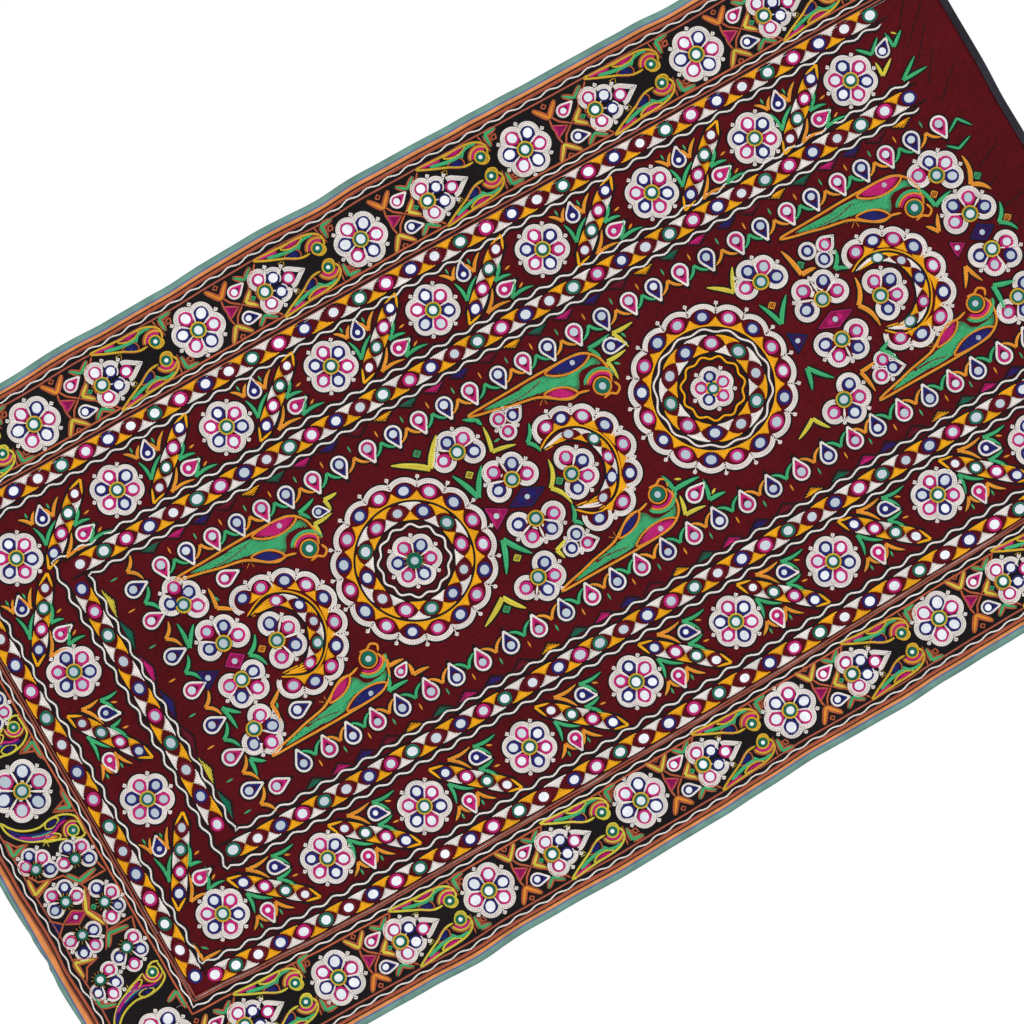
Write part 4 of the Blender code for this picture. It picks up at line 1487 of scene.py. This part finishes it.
def weaveGroup():
    # plain woven cotton, seen on Object coordinates
    tree, given, made = newGroup(
        "plain weave",
        (("Colour", "NodeSocketColor", (1, 1, 1, 1)), ("Faded", "NodeSocketColor", (1, 1, 1, 1)),
         ("Threads", "NodeSocketFloat", 8000.0)))
    place = objectPlace(tree)
    warp, weft = (maths(tree, "SINE", maths(tree, "MULTIPLY", add(tree, "ShaderNodeSeparateXYZ",
                                                                  {0: place}, axis),
                                            given.outputs["Threads"])) for axis in "XZ")
    height = maths(tree, "MULTIPLY", warp, weft)
    slub = noise(tree, place, 320.0, 3.0)
    cloudy = rangeOf(tree, noise(tree, place, 9.0, 3.0), 0.35, 0.7, 0.0, 1.0)
    shade = mixed(tree, cloudy, given.outputs["Colour"], given.outputs["Faded"])
    # the slubs are the cotton's own unevenness; the weave's raised crossings are also painted lighter, a
    # painted highlight
    uneven = maths(tree, "ADD", slub, maths(tree, "MULTIPLY", height, 0.12))
    bright = rangeOf(tree, uneven, 0.25, 0.75, 0.72, 1.25)
    tree.links.new(toned(tree, shade, bright), made.inputs["Colour"])
    tree.links.new(maths(tree, "ADD", height, maths(tree, "MULTIPLY", slub, 1.5)), made.inputs["Height"])
    return tree


chainStitch = chainStitchGroup()
plainWeave = weaveGroup()


def screen(red, green, blue):
    # a colour as it looks on a screen, to the values that shaders take
    def one(value):
        value /= 255.0
        return value / 12.92 if value <= 0.04045 else ((value + 0.055) / 1.055) ** 2.4
    return (one(red), one(green), one(blue), 1.0)


def newMaterial(name, roughness, metallic=0.0):
    material = bpy.data.materials.new(name)
    material.use_nodes = True
    shader = material.node_tree.nodes["Principled BSDF"]
    shader.inputs["Roughness"].default_value = roughness
    shader.inputs["Metallic"].default_value = metallic
    shader.inputs["Specular IOR Level"].default_value = 0.12
    return material, material.node_tree, shader


def addBump(tree, shader, height, strength, distance):
    bump = add(tree, "ShaderNodeBump", {"Height": height, "Strength": strength, "Distance": distance})
    tree.links.new(bump, shader.inputs["Normal"])


def groupMaterial(name, group, values, finish):
    # a material whose colour and height come from one of the groups
    material, tree, shader = newMaterial(name, finish["roughness"])
    node = tree.nodes.new("ShaderNodeGroup")
    node.node_tree = group
    for label, value in values.items():
        node.inputs[label].default_value = value
    tree.links.new(node.outputs["Colour"], shader.inputs["Base Color"])
    addBump(tree, shader, node.outputs["Height"], finish["bump"], finish["bumpDepth"])
    return material


# each thread: its own colour, then a darker copy that is painted into the hollows and sides of its rows
# as shade
threadColours = {
    "white": ((229, 222, 216), (106, 94, 91)),
    "yellow": ((232, 164, 22), (150, 92, 10)),
    "orange": ((218, 140, 44), (136, 74, 22)),
    "magenta": ((190, 31, 112), (108, 12, 62)),
    "navy": ((32, 32, 104), (16, 16, 54)),
    "green": ((62, 164, 106), (22, 84, 54)),
    "darkGreen": ((14, 104, 82), (8, 52, 42)),
    "claret": ((104, 20, 38), (58, 10, 20)),
    "rust": ((178, 90, 60), (96, 42, 26)),
    "brown": ((156, 80, 62), (112, 54, 42)),
    "gold": ((206, 164, 48), (120, 88, 14)),
    "leaf": ((64, 168, 112), (16, 84, 52)),
    "lime": ((204, 190, 66), (116, 102, 22)),
    "purple": ((110, 46, 130), (60, 20, 76)),
    "black": ((22, 19, 22), (12, 10, 12)),
}
threadFinish = {"roughness": 0.62, "stitch": 2.4, "bump": 0.55, "bumpDepth": 0.0006}


def threadMaterial(thread):
    # lit is the thread's own colour, hollow the painted shade colour
    lit, hollow = (screen(*colour) for colour in threadColours[thread])
    values = {"Colour": lit, "Painted Shade": hollow, "Stitch": threadFinish["stitch"]}
    return groupMaterial(thread + " thread", chainStitch, values, threadFinish)


woven = {
    "maroon cotton": {"colour": (80, 7, 16), "faded": (70, 5, 11), "roughness": 0.88,
                      "bump": 0.25, "bumpDepth": 0.0002},
    "black cotton": {"colour": (18, 15, 17), "faded": (24, 20, 21), "roughness": 0.88,
                     "bump": 0.25, "bumpDepth": 0.0002},
    "black tape": {"colour": (26, 25, 30), "faded": (52, 50, 58), "roughness": 0.7,
                   "bump": 0.4, "bumpDepth": 0.0003},
}


def wovenMaterial(name):
    values = {"Colour": screen(*woven[name]["colour"]), "Faded": screen(*woven[name]["faded"])}
    return groupMaterial(name, plainWeave, values, woven[name])


# stripes by their place across the edging, from the free edge inwards
satinStripes = ((0.0, (94, 132, 122)), (0.44, (104, 140, 132)), (0.49, (76, 92, 136)),
                (0.57, (88, 98, 136)), (0.63, (208, 136, 76)), (0.84, (200, 124, 68)),
                (0.89, (132, 68, 44)), (1.0, (92, 44, 33)))


def satinMaterial():
    material, tree, shader = newMaterial("striped satin", 0.5)
    ramp = tree.nodes.new("ShaderNodeValToRGB")
    tree.links.new(attribute(tree, "acrossEdge"), ramp.inputs[0])
    first, *between, last = satinStripes
    ramp.color_ramp.elements[0].color = screen(*first[1])
    ramp.color_ramp.elements[1].position = last[0]
    ramp.color_ramp.elements[1].color = screen(*last[1])
    for place, colour in between:
        ramp.color_ramp.elements.new(place).color = screen(*colour)
    worn = rangeOf(tree, noise(tree, objectPlace(tree), 60.0, 4.0), 0.3, 0.7, 0.75, 1.12)
    tree.links.new(toned(tree, ramp.outputs[0], worn), shader.inputs["Base Color"])
    addBump(tree, shader, noise(tree, objectPlace(tree), 700.0), 0.3, 0.0003)
    return material


# dull and bright are painted reflection colours of the glass
glass = {"roughness": 0.12, "metallic": 0.9, "dull": (180, 192, 202), "bright": (248, 250, 254),
         "clouded": (168, 180, 192)}


def mirrorMaterial():
    material, tree, shader = newMaterial("mirror glass", glass["roughness"], glass["metallic"])
    # painted reflection: the glass colour goes from dull to bright with each mirror's painted glint
    paintedGlint = rangeOf(tree, attribute(tree, "paintedGlint"), 0.25, 1.0, 0.0, 1.0)
    base = mixed(tree, paintedGlint, screen(*glass["dull"]), screen(*glass["bright"]))
    cloud = rangeOf(tree, noise(tree, objectPlace(tree), 160.0), 0.4, 0.8, 0.0, 0.35)
    clouded = mixed(tree, cloud, base, screen(*glass["clouded"]))
    tree.links.new(clouded, shader.inputs["Base Color"])
    return material


def geometryGroup(name):
    group = bpy.data.node_groups.new(name, "GeometryNodeTree")
    for way in ("INPUT", "OUTPUT"):
        group.interface.new_socket("Geometry", in_out=way, socket_type="NodeSocketGeometry")
    return group, group.nodes.new("NodeGroupInput"), group.nodes.new("NodeGroupOutput")


# Sewn rows become meshes: a rounded section is carried along each row and laid on the cloth
# how far the section of a thread stands at its middle and its sides, by its half width. Its y
# points into the cloth
threadShape = {"middle": -0.62, "side": 0.14, "points": 3}


def layThreadGroup():
    tree, given, made = geometryGroup("lay thread")

    def store(geometry, name, value, domain="POINT"):
        return add(tree, "GeometryNodeStoreNamedAttribute",
                   {"Geometry": geometry, "Name": name, "Value": value}, domain=domain)

    def parameter(name):
        return add(tree, "GeometryNodeSplineParameter", output=name)

    tone = add(tree, "FunctionNodeRandomValue", {"Seed": 5}, 1)
    sewn = store(store(given.outputs[0], "tone", tone, "CURVE"), "along", parameter("Length"))
    section = add(tree, "GeometryNodeCurvePrimitiveLine",
                  {"Start": (-1.0, 0.0, 0.0), "End": (1.0, 0.0, 0.0)}, mode="POINTS")
    section = add(tree, "GeometryNodeResampleCurve", {"Curve": section, "Count": threadShape["points"]})
    profile = store(section, "across", parameter("Factor"))
    beside = add(tree, "ShaderNodeSeparateXYZ", {0: add(tree, "GeometryNodeInputPosition")}, "X")
    rise = rangeOf(tree, maths(tree, "ABSOLUTE", beside), 0.0, 1.0, threadShape["middle"],
                   threadShape["side"])
    lifted = add(tree, "ShaderNodeCombineXYZ", {"Y": rise})
    raised = add(tree, "GeometryNodeSetPosition", {"Geometry": profile, "Offset": lifted})
    carried = add(tree, "GeometryNodeCurveToMesh",
                  {"Curve": sewn, "Profile Curve": raised,
                   "Scale": add(tree, "GeometryNodeInputRadius")})
    tree.links.new(carried, made.inputs[0])
    return tree


def modified(piece, group):
    # the mesh that a group makes of an object, which then goes
    step = piece.modifiers.new(group.name, "NODES")
    step.node_group = group
    bpy.context.scene.collection.objects.link(piece)
    shot = piece.evaluated_get(bpy.context.evaluated_depsgraph_get())
    mesh = bpy.data.meshes.new_from_object(shot)
    bpy.data.objects.remove(piece)
    return mesh


def layThread(thread, group):
    drawn = bpy.data.curves.new(thread, "CURVE")
    drawn.dimensions = "3D"
    for points, spread, lift in rows[thread]:
        spline = drawn.splines.new("POLY")
        spline.points.add(len(points) - 1)
        spot = np.column_stack((points, np.full(len(points), lift), np.ones(len(points))))
        spline.points.foreach_set("co", spot.astype(np.float32).ravel())
        spline.points.foreach_set("radius", spread.astype(np.float32))
    mesh = modified(bpy.data.objects.new(thread, drawn), group)
    bpy.data.curves.remove(drawn)
    co = np.empty(len(mesh.vertices) * 3, np.float32)
    mesh.vertices.foreach_get("co", co)
    co = co.reshape(-1, 3)
    co[:, 2] += hanging["clothHalf"]
    mesh.vertices.foreach_set("co", co.ravel())
    placeMesh(mesh)
    mesh.polygons.foreach_set("use_smooth", np.ones(len(mesh.polygons), bool))
    mesh.name = thread
    return newPiece("thread_" + thread, mesh, threadMaterial(thread))


# one mirror of radius 1: a sunk rim under the stitches and a face that swells a little. Its lift
# above the cloth and its tilt each way are the same for all
mirrorShape = {"segments": 11, "rim": 0.22, "rimRise": 0.10, "swell": 0.40, "swellRise": 0.04,
               "lift": 0.35, "tilt": 0.03}


def mirrorTemplate():
    shape = bmesh.new()
    bmesh.ops.create_circle(shape, cap_ends=True, segments=mirrorShape["segments"], radius=1.0)
    face = list(shape.faces)
    for inset in ("rim", "swell"):
        bmesh.ops.inset_region(shape, faces=face, thickness=mirrorShape[inset])
        for vert in face[0].verts:
            vert.co.z += mirrorShape[inset + "Rise"]
    return bpy.data.objects.new("one mirror", meshOf(shape, "one mirror"))


def layMirrors():
    spots = bpy.data.meshes.new("mirror spots")
    spots.vertices.add(len(mirrors))
    table = np.array(mirrors)
    lift = np.full(len(table), hanging["clothHalf"] + mirrorShape["lift"])
    co = np.column_stack((table[:, 0], table[:, 1], lift))
    spots.vertices.foreach_set("co", co.astype(np.float32).ravel())
    for name, values in (("radius", table[:, 2]), ("stretch", table[:, 3]),
                         ("turned", np.radians(table[:, 4])), ("paintedGlint", table[:, 5])):
        spots.attributes.new(name, "FLOAT", "POINT").data.foreach_set("value", values.astype(np.float32))
    template = mirrorTemplate()
    tree, given, made = geometryGroup("lay mirrors")

    def named(name):
        return add(tree, "GeometryNodeInputNamedAttribute", {"Name": name})

    long = maths(tree, "MULTIPLY", named("radius"), named("stretch"))
    size = add(tree, "ShaderNodeCombineXYZ", {"X": long, "Y": named("radius"), "Z": named("radius")})
    turned = add(tree, "ShaderNodeCombineXYZ", {"Z": named("turned")})
    tilt = mirrorShape["tilt"]
    toss = add(tree, "FunctionNodeRandomValue", {0: (-tilt, -tilt, 0.0), 1: (tilt, tilt, 0.0)},
               data_type="FLOAT_VECTOR")
    tilted = add(tree, "ShaderNodeVectorMath", {0: turned, 1: toss})
    one = add(tree, "GeometryNodeObjectInfo", {"Object": template}, "Geometry")
    laid = add(tree, "GeometryNodeInstanceOnPoints",
               {"Points": given.outputs[0], "Instance": one, "Rotation": tilted, "Scale": size})
    tree.links.new(add(tree, "GeometryNodeRealizeInstances", {0: laid}), made.inputs[0])
    mesh = modified(bpy.data.objects.new("mirrors", spots), tree)
    bpy.data.objects.remove(template)
    placeMesh(mesh)
    mesh.name = "mirrors"
    return newPiece("mirrors", mesh, mirrorMaterial())


# The cloth pieces: each is a fine grid laid on the folds, with the wall of its cloth
ground = {"cells": (84, 176), "wall": 2.0, "slot": "maroon_cotton", "flat": (0.504, 1.059)}
footBorder = {"cells": (84, 16), "wall": 2.0, "slot": "black_cotton", "flat": (0.505, 0.095)}
sideBorder = {"cells": (16, 192), "wall": 2.0, "slot": "black_cotton", "flat": (0.081, 1.150)}
sideEdging = {"cells": (4, 194), "wall": 2.4, "slot": "striped_satin", "flat": (0.0115, 1.160)}
footEdging = {"cells": (112, 4), "wall": 2.4, "slot": "striped_satin", "flat": (0.677, 0.0115)}


def clothPiece(name, node, table, material, sides, ends, reach, freeEdge=None):
    # sides give the left and right x by height, ends the lower and upper height by x. The rows
    # of the grid are spread over the reach
    left, right = sides
    low, high = ends
    columns, gridRows = table["cells"]
    shape = bmesh.new()
    bmesh.ops.create_grid(shape, x_segments=columns, y_segments=gridRows, size=0.5)
    edge = shape.verts.layers.float.new("acrossEdge")
    for vert in shape.verts:
        u, v = vert.co.x + 0.5, vert.co.y + 0.5
        height = reach[0] + (reach[1] - reach[0]) * v
        start, end = left(height), right(height)
        x = start + (end - start) * u
        if v < 1e-5:
            height = low(x)
        elif v > 1.0 - 1e-5:
            height = high(x)
        elif freeEdge == "low":
            height = max(height, low(x))
        vert.co = (x, height, 0.0)
        if freeEdge:
            vert[edge] = {"left": u, "right": 1.0 - u, "low": v}[freeEdge]
    mesh = meshOf(shape, name)
    placeMesh(mesh)
    mesh.polygons.foreach_set("use_smooth", np.ones(len(mesh.polygons), bool))
    piece = newPiece(name, mesh, material)
    thickness = piece.modifiers.new("thickness", "SOLIDIFY")
    thickness.thickness = table["wall"] / 1000.0
    thickness.offset = 0.0
    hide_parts(node)


def edgeAt(column, shift=0.0):
    return lambda height: float(alongTable(stations, column, height)) + shift


def layCloth():
    gap, edging = hanging["gap"], hanging["edgingWidth"]
    top = hanging["length"] - hanging["underTape"]

    def underTape(x):
        return float(topHeight(x)) - hanging["underTape"]

    def footEdge(x):
        return float(footHeight(x))

    def edgingTop(x):
        return footEdge(x) + edging

    def borderFoot(x):
        return edgingTop(x) + gap

    def seam(x):
        return float(footSeamHeight(x))

    def mitre(corner):
        return lambda x: footEdge(x) + abs(x - corner) + 2 * gap

    maroon, black = wovenMaterial("maroon cotton"), wovenMaterial("black cotton")
    satin = satinMaterial()
    seams = (edgeAt(2), edgeAt(3))
    borderLow = edging + gap + 1.5
    clothPiece("ground", "ground_cloth", ground, maroon, seams, (seam, underTape), (105.5, top))
    clothPiece("footBorder", "foot_border", footBorder, black, seams,
               (borderFoot, lambda x: seam(x) - gap), (borderLow, 105.0))
    for which, outer, inner, inward in (("Left", 1, 2, 1.0), ("Right", 4, 3, -1.0)):
        border = (edgeAt(outer, inward * (edging + gap)), edgeAt(inner, -inward * gap))
        strip = (edgeAt(outer), edgeAt(outer, inward * edging))
        corner = edgeAt(outer)(0.0)
        if which == "Right":
            border, strip = border[::-1], strip[::-1]
        clothPiece("sideBorder" + which, "side_border_" + which.lower(), sideBorder, black, border,
                   (borderFoot, underTape), (borderLow, top))
        clothPiece("sideEdging" + which, "side_edging_" + which.lower(), sideEdging, satin, strip,
                   (mitre(corner), underTape), (3.0, top), which.lower())
    left, right = edgeAt(1)(0.0) + gap, edgeAt(4)(0.0) - gap
    mitred = (lambda height: left + max(0.0, height), lambda height: right - max(0.0, height))
    clothPiece("footEdging", "foot_edging", footEdging, satin, mitred, (footEdge, edgingTop),
               (0.0, edging), "low")


tape = {"wall": 0.8, "width": 7.0, "bend": 0.55, "steps": 150, "flat": (0.656, 0.018)}


def layTape():
    # the section of the folded tape, carried across the top
    inside = hanging["edgingHalf"] + hanging["gap"]
    outside = inside + tape["wall"]
    section = [(outside, tape["width"]), (outside, tape["bend"]), (outside - tape["bend"], 0.0),
               (-outside + tape["bend"], 0.0), (-outside, tape["bend"]), (-outside, tape["width"]),
               (-inside, tape["width"]), (-inside, tape["wall"]), (inside, tape["wall"]),
               (inside, tape["width"])]
    left, right = stations[-1][1], stations[-1][4]
    shape = bmesh.new()
    rings = []
    for x in np.linspace(left, right, tape["steps"]):
        top = float(topHeight(x))
        corners = [shape.verts.new((x, top - down, lift)) for lift, down in section]
        around = [shape.edges.new(pair) for pair in zip(corners, corners[1:] + corners[:1])]
        if not rings or x == right:
            shape.faces.new(corners)
        if rings:
            bmesh.ops.bridge_loops(shape, edges=rings[-1] + around)
        rings.append(around)
    bmesh.ops.recalc_face_normals(shape, faces=shape.faces)
    mesh = meshOf(shape, "topTape")
    placeMesh(mesh)
    piece = newPiece("topTape", mesh, wovenMaterial("black tape"))
    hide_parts("top_tape")


print("laying the cloth")
layCloth()
layTape()
print("laying the mirrors")
layMirrors()
print("laying the thread")
threadGroup = layThreadGroup()
for thread in rows:
    layThread(thread, threadGroup)


# The room, and the photo's view, which is turned so that the heading lies at the right
studio = {"floor": -1.75, "near": -3.5, "far": 1.8, "half": 2.6, "grey": 0.82, "world": 1.0,
          "sun": 1.1, "sunFrom": (-0.55, -1.0, 0.75), "sunWidth": 12}
view = {"middle": (-0.001, -0.583), "span": 0.942, "away": 2.67, "turn": -60}


def setStudio():
    shape = bmesh.new()
    bmesh.ops.create_grid(shape, x_segments=1, y_segments=1, size=1.0)
    middle = (studio["near"] + studio["far"]) / 2.0
    for vert in shape.verts:
        vert.co = (vert.co.x * studio["half"], middle + vert.co.y * (studio["far"] - middle),
                   studio["floor"])
    mesh = meshOf(shape, "floor")
    floor = bpy.data.objects.new("floor", mesh)
    bpy.context.scene.collection.objects.link(floor)
    material, tree, shader = newMaterial("pale floor", 0.9)
    shader.inputs["Base Color"].default_value = (*[studio["grey"]] * 3, 1.0)
    mesh.materials.append(material)
    world = bpy.data.worlds.new("studio")
    world.use_nodes = True
    tree = world.node_tree
    backdrop = tree.nodes["Background"]
    backdrop.inputs["Strength"].default_value = studio["world"]
    white = (1.0, 1.0, 1.0, 1.0)
    backdrop.inputs["Color"].default_value = white
    seen = add(tree, "ShaderNodeBackground", {"Color": white, "Strength": 1.0})
    rays = add(tree, "ShaderNodeLightPath", output="Is Camera Ray")
    choice = add(tree, "ShaderNodeMixShader", {0: rays, 1: backdrop.outputs[0], 2: seen})
    tree.links.new(choice, tree.nodes["World Output"].inputs["Surface"])
    bpy.context.scene.world = world
    lamp = bpy.data.lights.new("window", "SUN")
    lamp.energy = studio["sun"]
    lamp.angle = math.radians(studio["sunWidth"])
    sun = bpy.data.objects.new("window", lamp)
    sun.rotation_euler = Vector(studio["sunFrom"]).to_track_quat("Z", "Y").to_euler()
    bpy.context.scene.collection.objects.link(sun)


def setCamera():
    data = bpy.data.cameras.new("camera")
    data.sensor_width = 36.0
    data.angle = 2.0 * math.atan(view["span"] / 2.0 / view["away"])
    data.clip_end = 20.0
    camera = bpy.data.objects.new("camera", data)
    camera.location = (view["middle"][0], -view["away"], view["middle"][1])
    camera.rotation_euler = (math.radians(90), math.radians(view["turn"]), 0.0)
    bpy.context.scene.collection.objects.link(camera)
    bpy.context.scene.camera = camera


setStudio()
setCamera()
bpy.context.scene.view_settings.view_transform = "Standard"
triangles = sum(len(face.vertices) - 2 for piece in bpy.data.objects if piece.type == "MESH"
                and piece.name.startswith("thread_") for face in piece.data.polygons)
print("triangles of thread:", triangles)
